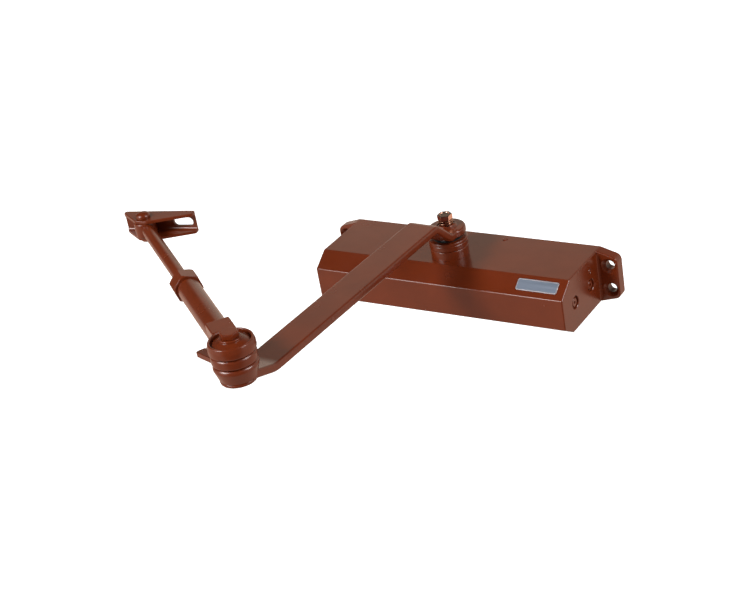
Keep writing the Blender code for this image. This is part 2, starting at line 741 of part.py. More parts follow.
def build_main_arm(finishes, arm_axis):
    paint, steel = finishes["paint"], finishes["dark_steel"]
    bar = prism(arm_side_outline(), -ARM_HALF_WIDTH, ARM_HALF_WIDTH, up="Y")
    arm = add_object("main_arm", bar, paint, parent=arm_axis)
    bevel(arm, 1.4 * MM, 1, math.radians(60))
    eye = turned(
        [
            (0.0, EYE_BOTTOM),
            (EYE_RADIUS, EYE_BOTTOM),
            (EYE_RADIUS, EYE_TOP - 1.2 * MM),
            (EYE_RADIUS - 1.2 * MM, EYE_TOP),
            (HUB_RADIUS + 1.5 * MM, EYE_TOP),
            (HUB_RADIUS, HUB_TOP),
            (0.0, HUB_TOP),
        ]
    )
    combine(arm, add_helper("eye_join", eye, parent=arm_axis), "UNION")
    boss = turned(
        [
            (0.0, ELBOW_BOTTOM),
            (ELBOW_TAPER - 0.5 * MM, ELBOW_BOTTOM),
            (ELBOW_TAPER, ELBOW_BOTTOM + 0.7 * MM),
            (ELBOW_RADIUS, 70.0 * MM),
            (ELBOW_RADIUS, ELBOW_TOP),
            (0.0, ELBOW_TOP),
        ]
    )
    at_elbow = {"parent": arm_axis, "location": (ARM_LENGTH, 0, 0)}
    combine(arm, add_helper("elbow_join", boss, **at_elbow), "UNION")
    half = SQUARE_HALF + 0.2 * MM
    socket = block((-half, -half, EYE_BOTTOM - 1 * MM), (half, half, HUB_TOP + 1 * MM))
    combine(arm, add_helper("square_cut", socket, parent=arm_axis))
    hole = turned(
        [
            (0.0, ELBOW_BOTTOM - 1 * MM),
            (6.4 * MM, ELBOW_BOTTOM - 1 * MM),
            (6.4 * MM, ELBOW_BOTTOM + 3 * MM),
            (PIN_RADIUS + GAP, ELBOW_BOTTOM + 3 * MM),
            (PIN_RADIUS + GAP, ELBOW_TOP + 1 * MM),
            (0.0, ELBOW_TOP + 1 * MM),
        ],
        SMALL_ROUND,
    )
    combine(arm, add_helper("elbow_hole_cut", hole, **at_elbow))
    flat = washer(3.2 * MM, 5.8 * MM, HUB_TOP + GAP, 47.9 * MM, SMALL_ROUND)
    add_object("arm_washer", flat, steel, parent=arm_axis)
    lock = add_object(
        "arm_spring_washer",
        washer(3.2 * MM, 5.2 * MM, 48.1 * MM, 49.5 * MM, SMALL_ROUND),
        steel,
        parent=arm_axis,
    )
    split = block((2 * MM, -0.5 * MM, 47 * MM), (7 * MM, 0.5 * MM, 50.5 * MM))
    combine(lock, add_helper("washer_split_cut", split, parent=arm_axis))
    bolt = hex_piece("arm_bolt", 10 * MM, (49.8 * MM, 53.8 * MM), None, steel, arm_axis)
    shank = cylinder(2.5 * MM, 33 * MM, 51 * MM, SMALL_ROUND)
    combine(bolt, add_helper("arm_bolt_shank", shank, parent=arm_axis), "UNION")


def build_elbow(finishes, elbow):
    paint, steel = finishes["paint"], finishes["dark_steel"]
    pin = turned(
        [
            (0.0, ELBOW_BOTTOM + 0.4 * MM),
            (6.0 * MM, ELBOW_BOTTOM + 0.4 * MM),
            (6.0 * MM, ELBOW_BOTTOM + 2.7 * MM),
            (PIN_RADIUS, ELBOW_BOTTOM + 2.7 * MM),
            (PIN_RADIUS, 84.6 * MM),
            (3.0 * MM, 84.9 * MM),
            (3.0 * MM, ELBOW_NUT_TOP - 1.3 * MM),
            (0.0, ELBOW_NUT_TOP - 1.3 * MM),
        ],
        SMALL_ROUND,
    )
    add_object("elbow_pin", pin, steel, parent=elbow)
    disc = add_object(
        "hold_open_disc",
        washer(PIN_RADIUS + GAP, 15.2 * MM, ELBOW_TOP + GAP, DISC_TOP),
        paint,
        parent=elbow,
    )
    tab = [(-27.8, -4.6), (-24.4, 1.4), (-12.0, 4.4), (-8.0, -10.2)]
    tab_shape = prism([(x * MM, y * MM) for x, y in tab], 73.6 * MM, 77.5 * MM)
    combine(disc, add_helper("tab_join", tab_shape, parent=elbow), "UNION")
    bush = washer(PIN_RADIUS + 0.1 * MM, 5.4 * MM, CUP_BOTTOM + 0.1 * MM, 84.7 * MM, SMALL_ROUND)
    add_object("elbow_bush", bush, finishes["bearing"], parent=elbow)
    dome = turned(
        [
            (3.3 * MM, CUP_FLOOR + GAP),
            (CUP_INNER - 0.7 * MM, CUP_FLOOR + GAP),
            (CUP_INNER - 0.7 * MM, 86.5 * MM),
            (7.4 * MM, 88.3 * MM),
            (7.4 * MM, ELBOW_NUT_BOTTOM - GAP),
            (3.3 * MM, ELBOW_NUT_BOTTOM - GAP),
        ],
        32,
    )
    add_object("elbow_dome_washer", dome, paint, parent=elbow)
    blind = (3.2 * MM, ELBOW_NUT_TOP - 1 * MM)
    span = (ELBOW_NUT_BOTTOM, ELBOW_NUT_TOP)
    hex_piece("elbow_nut", 11.2 * MM, span, blind, paint, elbow, phase=FOREARM_ANGLE)


def build_forearm(finishes, forearm, rod_end):
    paint = finishes["paint"]
    cup = turned(
        [
            (5.6 * MM, CUP_BOTTOM),
            (CUP_RADIUS, CUP_BOTTOM),
            (CUP_RADIUS, CUP_TOP - 0.8 * MM),
            (CUP_RADIUS - 0.8 * MM, CUP_TOP),
            (CUP_INNER, CUP_TOP),
            (CUP_INNER, CUP_FLOOR),
            (5.6 * MM, CUP_FLOOR),
        ]
    )
    tube = add_object("forearm_tube", cup, paint, parent=forearm)
    low = (14 * MM, -8 * MM, CUP_BOTTOM + 0.2 * MM)
    shoulder = block(low, (30 * MM, 8 * MM, CUP_TOP - 0.2 * MM))
    shoulder_join = add_helper("shoulder_join", shoulder, parent=forearm)
    bevel(shoulder_join, 1.0 * MM, 2)
    combine(tube, shoulder_join, "UNION")
    along = {"parent": forearm, "location": (0, 0, FOREARM_Z), "along_x": True}
    barrel = turned(
        [
            (0.0, TUBE_START),
            (TUBE_RADIUS - 1.2 * MM, TUBE_START),
            (TUBE_RADIUS, TUBE_START + 1.2 * MM),
            (TUBE_RADIUS, TUBE_END - 0.8 * MM),
            (TUBE_RADIUS - 0.8 * MM, TUBE_END),
            (0.0, TUBE_END),
        ],
        40,
    )
    combine(tube, add_helper("tube_join", barrel, **along), "UNION")
    bore = cylinder(ROD_RADIUS + GAP, TUBE_BORE_START, TUBE_END + 1 * MM, 32)
    combine(tube, add_helper("tube_bore_cut", bore, **along))
    carrier = make_empty("forearm_centre_line", (0, 0, FOREARM_Z), parent=forearm)
    nut_end = TUBE_END + GAP + LOCK_NUT_LENGTH
    hex_piece(
        "lock_nut",
        LOCK_NUT_FLATS,
        (TUBE_END + GAP, nut_end),
        (ROD_RADIUS + GAP, nut_end + 1 * MM),
        paint,
        carrier,
        along_x=True,
        phase=LOCK_NUT_PHASE,
    )
    rod = add_object(
        "forearm_rod",
        turned(
            [
                (0.0, ROD_START),
                (ROD_RADIUS - 1 * MM, ROD_START),
                (ROD_RADIUS, ROD_START + 1 * MM),
                (ROD_RADIUS, FOREARM_LENGTH - 3 * MM),
                (0.0, FOREARM_LENGTH - 3 * MM),
            ],
            32,
        ),
        paint,
        **along,
    )
    sheet = SHOE_SHEET + GAP
    eye = cylinder(ROD_EYE, SHOE_BOTTOM + sheet, SHOE_TOP - sheet, 40)
    combine(rod, add_helper("rod_eye_join", eye, parent=rod_end), "UNION")
    hole = cylinder(4.2 * MM, SHOE_BOTTOM, SHOE_TOP, SMALL_ROUND)
    combine(rod, add_helper("rod_eye_cut", hole, parent=rod_end))
    bush = washer(SHOE_PIN + 0.15 * MM, 3.95 * MM, SHOE_BOTTOM + sheet, SHOE_TOP - sheet, SMALL_ROUND)
    add_object("shoe_bush", bush, finishes["bearing"], parent=rod_end)


def shoe_outline():
    """Plan of the shoe's flanges: straight back, rounded nose in front of the pin."""
    nose = arc((1.2 * MM, 0.6 * MM), 7.4 * MM, 222, 292, 6)
    return [
        (SHOE_LEFT, SHOE_BACK),
        (SHOE_LEFT, 7.4 * MM),
        *nose,
        (SHOE_RIGHT, 5.2 * MM),
        (SHOE_RIGHT, SHOE_BACK),
    ]


def build_shoe(finishes, shoe_axis):
    paint = finishes["paint"]
    shoe = add_object(
        "shoe_bracket", prism(shoe_outline(), SHOE_BOTTOM, SHOE_TOP), paint, parent=shoe_axis
    )
    bevel(shoe, 0.7 * MM, 1, math.radians(50))
    channel = block(
        (SHOE_LEFT - 5 * MM, -20 * MM, SHOE_BOTTOM + SHOE_SHEET),
        (SHOE_RIGHT + 5 * MM, SHOE_BACK - SHOE_SHEET, SHOE_TOP - SHOE_SHEET),
    )
    combine(shoe, add_helper("shoe_channel_cut", channel, parent=shoe_axis))
    middle = (SHOE_BOTTOM + SHOE_TOP) / 2
    through = (SHOE_BACK - SHOE_SHEET - 2 * MM, SHOE_BACK + 2 * MM)
    slot = prism(slot_outline(19.2 * MM, 35.4 * MM, middle, 3.4 * MM), *through, up="Y")
    combine(shoe, add_helper("shoe_slot_cut", slot, parent=shoe_axis))
    hole = prism(arc((-10.5 * MM, middle), 3.3 * MM, 0, 345, 23), *through, up="Y")
    combine(shoe, add_helper("shoe_hole_cut", hole, parent=shoe_axis))
    bore = cylinder(SHOE_PIN + GAP, SHOE_BOTTOM - 1 * MM, SHOE_TOP + 1 * MM, SMALL_ROUND)
    combine(shoe, add_helper("shoe_bore_cut", bore, parent=shoe_axis))
    shoulder = SHOE_TOP + RIVET_SIDE
    dome = [
        (RIVET_RADIUS * math.cos(turn), shoulder + RIVET_DOME * math.sin(turn))
        for turn in [math.radians(18 * i) for i in range(5)]
    ]
    pin = turned(
        [
            (0.0, 68.0 * MM),
            (2.5 * MM, 68.0 * MM),
            (SHOE_PIN, 68.5 * MM),
            (SHOE_PIN, SHOE_TOP + GAP),
            (RIVET_RADIUS, SHOE_TOP + GAP),
            *dome,
            (0.0, shoulder + RIVET_DOME),
        ],
        SMALL_ROUND,
    )
    add_object("shoe_pin", pin, paint, parent=shoe_axis)
    clip = washer(SHOE_PIN + 0.15 * MM, 5.4 * MM, 68.7 * MM, SHOE_BOTTOM - GAP, SMALL_ROUND)
    add_object("pin_clip", clip, finishes["dark_steel"], parent=shoe_axis)


def build_closer():
    clear_scene()
    finishes = {
        "paint": make_material("brown_enamel", (0.17, 0.027, 0.008), 0.0, 0.2),
        "steel": make_material("ground_steel", (0.55, 0.56, 0.58), 1.0, 0.3),
        "dark_steel": make_material("bronzed_steel", (0.12, 0.06, 0.035), 0.9, 0.35),
        "bearing": make_material("bearing_bronze", (0.55, 0.38, 0.16), 1.0, 0.35),
        "rubber": make_material("seal_rubber", (0.02, 0.02, 0.02), 0.0, 0.7),
        "seal": make_material("piston_ring_plastic", (0.75, 0.72, 0.6), 0.0, 0.5),
        "plastic": make_material("cap_plastic", (0.1, 0.035, 0.02), 0.0, 0.5),
        "plug": make_material("plug_steel", (0.14, 0.05, 0.03), 0.6, 0.4),
        "label": make_material("label_aluminium", (0.45, 0.48, 0.52), 1.0, 0.35),
        "spring": make_material("spring_steel", (0.3, 0.3, 0.31), 1.0, 0.4),
    }
    spindle = make_empty("spindle_axis", (PINION_X, CYLINDER_Y, 0))
    arm_axis = make_empty("main_arm_line", (0, 0, 0), ARM_ANGLE, spindle)
    elbow_place = (
        PINION_X + ARM_LENGTH * math.cos(ARM_ANGLE),
        CYLINDER_Y + ARM_LENGTH * math.sin(ARM_ANGLE),
        0,
    )
    elbow = make_empty("elbow_axis", elbow_place)
    forearm = make_empty("forearm_line", (0, 0, 0), FOREARM_ANGLE, elbow)
    rod_end = make_empty("rod_end_axis", (FOREARM_LENGTH, 0, 0), 0.0, forearm)
    shoe_place = (
        elbow_place[0] + FOREARM_LENGTH * math.cos(FOREARM_ANGLE),
        elbow_place[1] + FOREARM_LENGTH * math.sin(FOREARM_ANGLE),
        0,
    )
    shoe_axis = make_empty("shoe_axis", shoe_place, SHOE_ANGLE)

    build_housing(finishes["paint"], spindle)
    spring_start = build_body_fittings(finishes)
    spring_end = build_piston(finishes)
    add_object(
        "closing_spring",
        spring_shape(spring_start, spring_end),
        finishes["spring"],
        location=(0, CYLINDER_Y, 0),
    )
    build_spindle(finishes, spindle)
    build_valves(finishes)
    build_main_arm(finishes, arm_axis)
    build_elbow(finishes, elbow)
    build_forearm(finishes, forearm, rod_end)
    build_shoe(finishes, shoe_axis)


build_closer()
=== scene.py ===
"""Looks of the brown door closer: fine meshes, gloss enamel, studio light and the camera.

Shapes are modelled in millimetres and scaled to metres when they are placed.
"""

import json
import math

import bmesh
import bpy
from mathutils import Matrix, Vector


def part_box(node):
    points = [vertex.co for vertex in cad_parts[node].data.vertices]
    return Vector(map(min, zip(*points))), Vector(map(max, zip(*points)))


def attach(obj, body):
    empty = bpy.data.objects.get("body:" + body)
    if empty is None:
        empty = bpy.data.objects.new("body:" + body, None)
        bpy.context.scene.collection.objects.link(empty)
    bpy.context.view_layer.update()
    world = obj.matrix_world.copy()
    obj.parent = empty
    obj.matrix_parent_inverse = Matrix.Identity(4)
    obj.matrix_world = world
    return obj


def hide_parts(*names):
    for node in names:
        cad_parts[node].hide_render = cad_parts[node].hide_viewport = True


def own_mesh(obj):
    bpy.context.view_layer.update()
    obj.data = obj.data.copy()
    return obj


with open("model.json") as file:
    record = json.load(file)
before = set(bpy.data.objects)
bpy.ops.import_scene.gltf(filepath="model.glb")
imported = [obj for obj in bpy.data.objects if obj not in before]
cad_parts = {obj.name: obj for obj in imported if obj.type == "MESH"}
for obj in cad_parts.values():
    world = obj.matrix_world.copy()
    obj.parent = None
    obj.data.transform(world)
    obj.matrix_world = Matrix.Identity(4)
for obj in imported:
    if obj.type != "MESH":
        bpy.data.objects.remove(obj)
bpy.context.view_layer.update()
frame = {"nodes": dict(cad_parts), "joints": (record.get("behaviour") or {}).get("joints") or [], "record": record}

TO_METRES = 0.001

# The object's sizes are in millimetres; GAP is the clearance between neighbouring pieces
GAP = 0.3

# Housing casting
BODY_END = 105.5
BODY_FRONT = -68.5
HALF_HEIGHT = 21.0
TOP_CHAMFER = (14.6, 9.8)
LOW_CHAMFER = (12.8, 8.3)
CAST_RADIUS = 1.3
CAST_RIM = 1.0
EAR_THICKNESS = 8.5
EAR_FILLET = 2.3
EAR_FILLET_HALF = 19.0
EAR_CORNER = 6.0
EAR_TIP_CORNER = 5.0
SCREW_HOLE = 3.6
SCREW_SINK = 6.1
EAR_REACH = 16.0
EAR_TAPER = math.radians(16.5)
SCREW_INSET = 9.0
SCREW_HALF_PITCH = 9.5
CYLINDER_RADIUS = 16.0
CYLINDER_END = 78.0
PLUG_RADIUS = 18.8
PLUG_DEPTH = 8.0
BEARING_SEAT = 9.3
SHAFT_SEAT = 11.3
SPRING_RADIUS = 11.6
SPRING_WIRE = 1.9
SPRING_TURNS = 8.5
VALVE_YS = (-48.6, -22.1)
VALVE_RECESS = 4.9
VALVE_RECESS_DEPTH = 1.6
VALVE_RADIUS = 3.3
VALVE_NEEDLE = (84.0, 90.0)
VALVE_GROOVE = (95.0, 97.0)
VALVE_SUNK = 0.6
VALVE_SOCKET_FLATS = 2.2
VALVE_SOCKET_DEPTH = 1.8
PLUG_HOLE = 1.8
PLUG_LENGTH = 4.3
LABEL_SIZE = (33.2, 10.0)
LABEL_LEFT = 66.0
LABEL_DOWN = 2.8
LABEL_RIM = 1.0

# Spindle stack
BOSS_RADIUS = 14.35
BOSS_TOP = 28.4
LOWER_BOSS = -23.0
GLAND_RADIUS = 14.7
GLAND_TOP = 35.3
GLAND_STEM = 11.0
GLAND_SEAT = 10.8
GLAND_BORE = 7.9
EYE_RADIUS = 14.35
EYE_BOTTOM = 38.5
EYE_TOP = 43.75
HUB_RADIUS = 7.0
HUB_TOP = 46.2
SQUARE_HALF = 5.2
WASHER_BORE = 3.2
WASHER_RADIUS = 5.8
WASHER_TOP = 47.9
LOCK_WASHER_RADIUS = 5.2
LOCK_WASHER_TOP = 49.5
LOCK_WASHER_SLANT = 0.5
BOLT_FLATS = 10.0
BOLT_HEAD = (49.8, 53.8)
BOLT_SHANK = 2.5
BOLT_END = 33.0

# Main arm
ARM_HALF_WIDTH = 12.65
ARM_THICKNESS = 6.0
ARM_RIM = 1.7
BAR_TOP = 59.5
CREST = 30.0
PAD_RISE = 6.3
PAD_START = 23.0
PAD_END = 4.0
ELBOW_RADIUS = 15.1
ELBOW_BOTTOM = 59.2
ELBOW_TAPER = 12.6
ELBOW_SHOULDER = 70.0
ELBOW_TOP = 73.2

# Elbow and forearm
DISC_RADIUS = 15.2
DISC_TOP = 80.5
DISC_TAB = ((-24.4, 1.4), (-27.8, -4.6), (-8.0, -10.2), (-10.0, 5.0))
CUP_RADIUS = 15.7
CUP_BOTTOM = 80.8
CUP_TOP = 88.6
CUP_INNER = 13.3
CUP_FLOOR = 85.0
CUP_BORE = 5.6
DISH_STEP = 9.0
DISH_NECK = 7.4
ELBOW_NUT_BOTTOM = 90.6
ELBOW_NUT_TOP = 94.2
ELBOW_NUT_FLATS = 11.2
ELBOW_NUT_BORE = 3.2
FOREARM_Z = 78.4
BLOCK_ENDS = (14.2, 31.0)
TUBE_RADIUS = 8.2
TUBE_HOLLOW = 30.0
TUBE_START = 17.8
TUBE_END = 106.0
ROD_RADIUS = 5.0
ROD_START = 58.0
ROD_INTO_EYE = 5.5
LOCK_NUT_LENGTH = 12.5
LOCK_NUT_FLATS = 19.0
LOCK_NUT_PHASE = math.radians(45)
ROD_EYE = 8.2
ROD_EYE_HOLE = 4.2
PIN_RADIUS = 4.0
PIN_HEAD_SEAT = 6.4
PIN_HEAD_DEPTH = 3.0

# Frame shoe
SHOE_BOTTOM = 70.1
SHOE_TOP = 86.6
SHOE_SHEET = 2.2
SHOE_LEFT = -20.0
SHOE_RIGHT = 37.8
SHOE_BACK = 10.9
SHOE_NOSE = ((-4.8, -5.8), (4.6, -7.4))
SHOE_LEFT_DEPTH = 7.6
SHOE_RIGHT_DEPTH = 5.0
SHOE_SLOT_ENDS = (19.2, 35.4)
SHOE_SLOT_HALF = 3.4
SHOE_HOLE = 3.3
SHOE_HOLE_X = -10.5
RIVET_RADIUS = 5.3
RIVET_SIDE = 1.5
RIVET_DOME = 3.0
RIVET_SHANK = 3.0
RIVET_END = 68.0
CLIP_RADIUS = 5.4

ROUND = 96
FINE = 6


def joint(name):
    return next(j for j in frame["joints"] if j["name"] == name)


def joint_axis(name):
    """The joint's place in plan, in millimetres."""
    place = joint(name)["pos_m"]
    return Vector((place[0] / TO_METRES, place[1] / TO_METRES, 0.0))


def mount_axis(name):
    mounts = frame["record"]["mounts"]
    return Vector(next(m for m in mounts if m["name"] == name)["axis"])


SPINDLE = joint_axis("pinion_turn")
ELBOW = joint_axis("elbow_fold")
SHOE_AXIS = joint_axis("shoe_pivot")
ARM_LINE = ELBOW - SPINDLE
ARM_LENGTH = ARM_LINE.length
ARM_ANGLE = math.atan2(ARM_LINE.y, ARM_LINE.x)
FOREARM_LINE = SHOE_AXIS - ELBOW
FOREARM_LENGTH = FOREARM_LINE.length
FOREARM_ANGLE = math.atan2(FOREARM_LINE.y, FOREARM_LINE.x)
SHOE_NORMAL = mount_axis("shoe_mounting_face")
SHOE_ANGLE = math.atan2(-SHOE_NORMAL.x, SHOE_NORMAL.y)

AT_SPINDLE = Matrix.Translation(SPINDLE)
AT_ARM = AT_SPINDLE @ Matrix.Rotation(ARM_ANGLE, 4, "Z")
AT_ELBOW = Matrix.Translation(ELBOW)
AT_FOREARM = AT_ELBOW @ Matrix.Rotation(FOREARM_ANGLE, 4, "Z")
LAID = Matrix.Rotation(math.pi / 2, 4, "Y")
AT_CENTRE_LINE = AT_FOREARM @ Matrix.Translation((0, 0, FOREARM_Z)) @ LAID
AT_ROD_END = Matrix.Translation(SHOE_AXIS) @ Matrix.Rotation(FOREARM_ANGLE, 4, "Z")
AT_SHOE = Matrix.Translation(SHOE_AXIS) @ Matrix.Rotation(SHOE_ANGLE, 4, "Z")
CYLINDER_Y = SPINDLE.y
AT_CYLINDER = Matrix.Translation((0, CYLINDER_Y, 0)) @ LAID


# ---------------------------------------------------------------- outlines and meshes


def fillet(previous, corner, following, radius, steps):
    """Points of an arc that rounds one corner of an outline."""
    to_previous = previous - corner
    to_following = following - corner
    angle = to_previous.angle(to_following)
    if radius <= 1e-6 or angle > math.pi - 1e-3:
        return [corner]
    reach = radius / math.tan(angle / 2)
    first = corner + to_previous.normalized() * reach
    last = corner + to_following.normalized() * reach
    middle = (to_previous.normalized() + to_following.normalized()).normalized()
    centre = corner + middle * (radius / math.sin(angle / 2))
    start = first - centre
    sweep = start.angle_signed(last - centre)
    return [
        centre + Matrix.Rotation(-sweep * i / steps, 2) @ start for i in range(steps + 1)
    ]


def offset_corners(corners, inset):
    """The outline's corners moved inward, each edge by the same distance; the outline is CCW."""
    moved = []
    count = len(corners)
    for i, corner in enumerate(corners):
        before = (corner - corners[i - 1]).normalized()
        after = (corners[(i + 1) % count] - corner).normalized()
        inward = Vector((-before.y, before.x)) + Vector((-after.y, after.x))
        scale = 1 + before.dot(after)
        moved.append(corner + inward * (inset / scale))
    return moved


def outline(corners, radii, inset=0.0, steps=FINE):
    """A closed outline with rounded corners, moved inward by inset; corners run CCW."""
    corners = [Vector(c) for c in corners]
    if isinstance(radii, (int, float)):
        radii = [radii] * len(corners)
    moved = offset_corners(corners, inset)
    count = len(moved)
    points = []
    for i, corner in enumerate(moved):
        before = (corners[i] - corners[i - 1]).normalized()
        after = (corners[(i + 1) % count] - corners[i]).normalized()
        turn = before.x * after.y - before.y * after.x
        radius = max(radii[i] - inset, 0.02) if turn > 0 else radii[i] + inset
        if radii[i] == 0:
            points.append(corner)
            continue
        points += fillet(moved[i - 1], corner, moved[(i + 1) % count], radius, steps)
    return points


def loft(rings, loop=False):
    """Join rings of points into a surface, closing it with end faces; one point is a pole."""
    shape = bmesh.new()
    made = [[shape.verts.new(point) for point in ring] for ring in rings]
    pairs = list(zip(made, made[1:]))
    if loop:
        pairs.append((made[-1], made[0]))
    for lower, upper in pairs:
        count = max(len(lower), len(upper))
        for i in range(count):
            j = (i + 1) % count
            corners = [lower[i % len(lower)], lower[j % len(lower)]]
            corners += [upper[j % len(upper)], upper[i % len(upper)]]
            shape.faces.new(list(dict.fromkeys(corners)))
    if not loop:
        for ring in (made[0], made[-1]):
            if len(ring) > 2:
                shape.faces.new(ring)
    return shape


AXES = {
    "X": lambda a, b, c: Vector((c, a, b)),
    "Y": lambda a, b, c: Vector((a, c, b)),
    "Z": lambda a, b, c: Vector((a, b, c)),
}


def slab(corners, radii, low, high, edges, up="Z", steps=FINE):
    """An outline given a thickness, with its rims rounded by edges = (low rim, high rim)."""
    levels = []
    for i in range(FINE + 1):
        turn = math.pi / 2 * i / FINE
        if edges[0] > 0:
            levels.append((edges[0] * (1 - math.sin(turn)), low + edges[0] * (1 - math.cos(turn))))
    if edges[0] == 0:
        levels.append((0.0, low))
    if edges[1] == 0:
        levels.append((0.0, high))
    else:
        for i in range(FINE + 1):
            turn = math.pi / 2 * i / FINE
            levels.append(
                (edges[1] * (1 - math.cos(turn)), high - edges[1] * (1 - math.sin(turn)))
            )
    place = AXES[up]
    return loft(
        [
            [place(p.x, p.y, level) for p in outline(corners, radii, inset, steps)]
            for inset, level in levels
        ]
    )


def turned(profile, radii=0.0, segments=ROUND, steps=4):
    """A solid of revolution about Z from (radius, height) corners, which may be rounded."""
    on_axis = profile[0][0] == 0.0
    if isinstance(radii, (int, float)):
        radii = [0 if r == 0.0 else radii for r, _ in profile]
    corners = [Vector(c) for c in profile]
    points = []
    count = len(corners)
    for i, corner in enumerate(corners):
        if radii[i] == 0:
            points.append(corner)
            continue
        points += fillet(corners[i - 1], corner, corners[(i + 1) % count], radii[i], steps)
    rings = []
    for point in points:
        if point.x < 1e-6:
            rings.append([Vector((0.0, 0.0, point.y))])
            continue
        turns = [2 * math.pi * i / segments for i in range(segments)]
        rings.append(
            [Vector((point.x * math.cos(t), point.x * math.sin(t), point.y)) for t in turns]
        )
    return loft(rings, loop=not on_axis)


def rod_along(radius, start, end, rim=0.4, segments=48):
    return turned([(0, start), (radius, start), (radius, end), (0, end)], rim, segments)


def ring_along(inner, outer, start, end, rim, segments):
    profile = [(inner, start), (outer, start), (outer, end), (inner, end)]
    return turned(profile, rim, segments)


def rectangle(left, right, low, high):
    return [(left, low), (right, low), (right, high), (left, high)]


def hex_outline(flats, phase=0.0):
    """A regular hexagon of a given width across its flats."""
    corner = flats / math.sqrt(3)
    turns = [math.radians(60 * i) + phase for i in range(6)]
    return [(corner * math.cos(t), corner * math.sin(t)) for t in turns]


def make(name, shape, matrix=None):
    """A Blender object, still in millimetres, from a bmesh."""
    if matrix is not None:
        bmesh.ops.transform(shape, matrix=matrix, verts=shape.verts)
    bmesh.ops.recalc_face_normals(shape, faces=shape.faces)
    mesh = bpy.data.meshes.new(name)
    shape.to_mesh(mesh)
    shape.free()
    obj = bpy.data.objects.new(name, mesh)
    bpy.context.scene.collection.objects.link(obj)
    return obj


def apply_modifiers(obj):
    bpy.context.view_layer.update()
    evaluated = obj.evaluated_get(bpy.context.evaluated_depsgraph_get())
    mesh = bpy.data.meshes.new_from_object(evaluated)
    obj.modifiers.clear()
    obj.data = mesh


def combine(obj, operation, *helpers):
    """Join or cut with each helper in turn, then remove the helpers."""
    for helper in helpers:
        modifier = obj.modifiers.new(helper.name, "BOOLEAN")
        modifier.operation = operation
        modifier.object = helper
        modifier.solver = "EXACT"
        apply_modifiers(obj)
        bpy.data.objects.remove(helper)


def soften(obj, width, segments=3, angle=40):
    """Round the edges that Booleans leave, which is where a casting or a forging has a fillet."""
    modifier = obj.modifiers.new("soften", "BEVEL")
    modifier.width = width
    modifier.segments = segments
    modifier.limit_method = "ANGLE"
    modifier.angle_limit = math.radians(angle)
    modifier.use_clamp_overlap = True
    modifier.miter_outer = "MITER_ARC"
    apply_modifiers(obj)


def place(obj, body, node, slot, material, sharp=40):
    """Scale a finished piece to metres, shade it, and hang it on its body in a CAD node's place."""
    mesh = obj.data
    mesh.transform(Matrix.Scale(TO_METRES, 4))
    mesh.shade_smooth()
    mesh.set_sharp_from_angle(angle=math.radians(sharp))
    mesh.materials.clear()
    mesh.materials.append(material)
    normals = obj.modifiers.new("flat_faces_flat", "WEIGHTED_NORMAL")
    normals.keep_sharp = True
    normals.weight = 80
    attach(obj, body)
    if node:
        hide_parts(node)


# ---------------------------------------------------------------- materials


RANGE_SOCKETS = ("From Min", "From Max", "To Min", "To Max")


def toned(colour, factor):
    return tuple(c * factor for c in colour)


class Nodes:
    """A material's node tree with short calls for the nodes used here."""

    def __init__(self, name, colour, metallic, roughness):
        self.material = bpy.data.materials.new(name)
        self.material.use_nodes = True
        self.tree = self.material.node_tree
        self.shader = self.tree.nodes["Principled BSDF"]
        self.shader.inputs["Base Color"].default_value = (*colour, 1)
        self.shader.inputs["Metallic"].default_value = metallic
        self.shader.inputs["Roughness"].default_value = roughness
        self.place = self.tree.nodes.new("ShaderNodeTexCoord").outputs["Object"]

    def node(self, kind, **values):
        made = self.tree.nodes.new(kind)
        for key, value in values.items():
            setattr(made, key, value)
        return made

    def link(self, source, target):
        self.tree.links.new(source, target)

    def stretched(self, scale):
        mapping = self.node("ShaderNodeMapping")
        mapping.inputs["Scale"].default_value = scale
        self.link(self.place, mapping.inputs["Vector"])
        return mapping.outputs["Vector"]

    def noise(self, scale, detail=2.0, roughness=0.5, vector=None):
        made = self.node("ShaderNodeTexNoise")
        made.inputs["Scale"].default_value = scale
        made.inputs["Detail"].default_value = detail
        made.inputs["Roughness"].default_value = roughness
        self.link(vector or self.place, made.inputs["Vector"])
        return made.outputs["Fac"]

    def remap(self, value, low, high, to_low, to_high):
        made = self.node("ShaderNodeMapRange")
        for socket, number in zip(RANGE_SOCKETS, (low, high, to_low, to_high)):
            made.inputs[socket].default_value = number
        self.link(value, made.inputs["Value"])
        return made.outputs["Result"]

    def mix(self, factor, first, second):
        made = self.node("ShaderNodeMix", data_type="RGBA")
        self.link(factor, made.inputs["Factor"])
        for socket, value in ((6, first), (7, second)):
            if isinstance(value, tuple):
                made.inputs[socket].default_value = (*value, 1)
            else:
                self.link(value, made.inputs[socket])
        return made.outputs[2]

    def bump(self, height, distance, strength=1.0, normal=None):
        made = self.node("ShaderNodeBump")
        made.inputs["Strength"].default_value = strength
        made.inputs["Distance"].default_value = distance
        self.link(height, made.inputs["Height"])
        if normal is not None:
            self.link(normal, made.inputs["Normal"])
        return made.outputs["Normal"]

    def edges(self, low, high):
        """0 on flat areas, 1 on convex edges."""
        pointiness = self.node("ShaderNodeNewGeometry").outputs["Pointiness"]
        return self.remap(pointiness, low, high, 0, 1)

    def colour(self, output):
        self.link(output, self.shader.inputs["Base Color"])

    def roughness(self, output):
        self.link(output, self.shader.inputs["Roughness"])

    def normal(self, output):
        self.link(output, self.shader.inputs["Normal"])


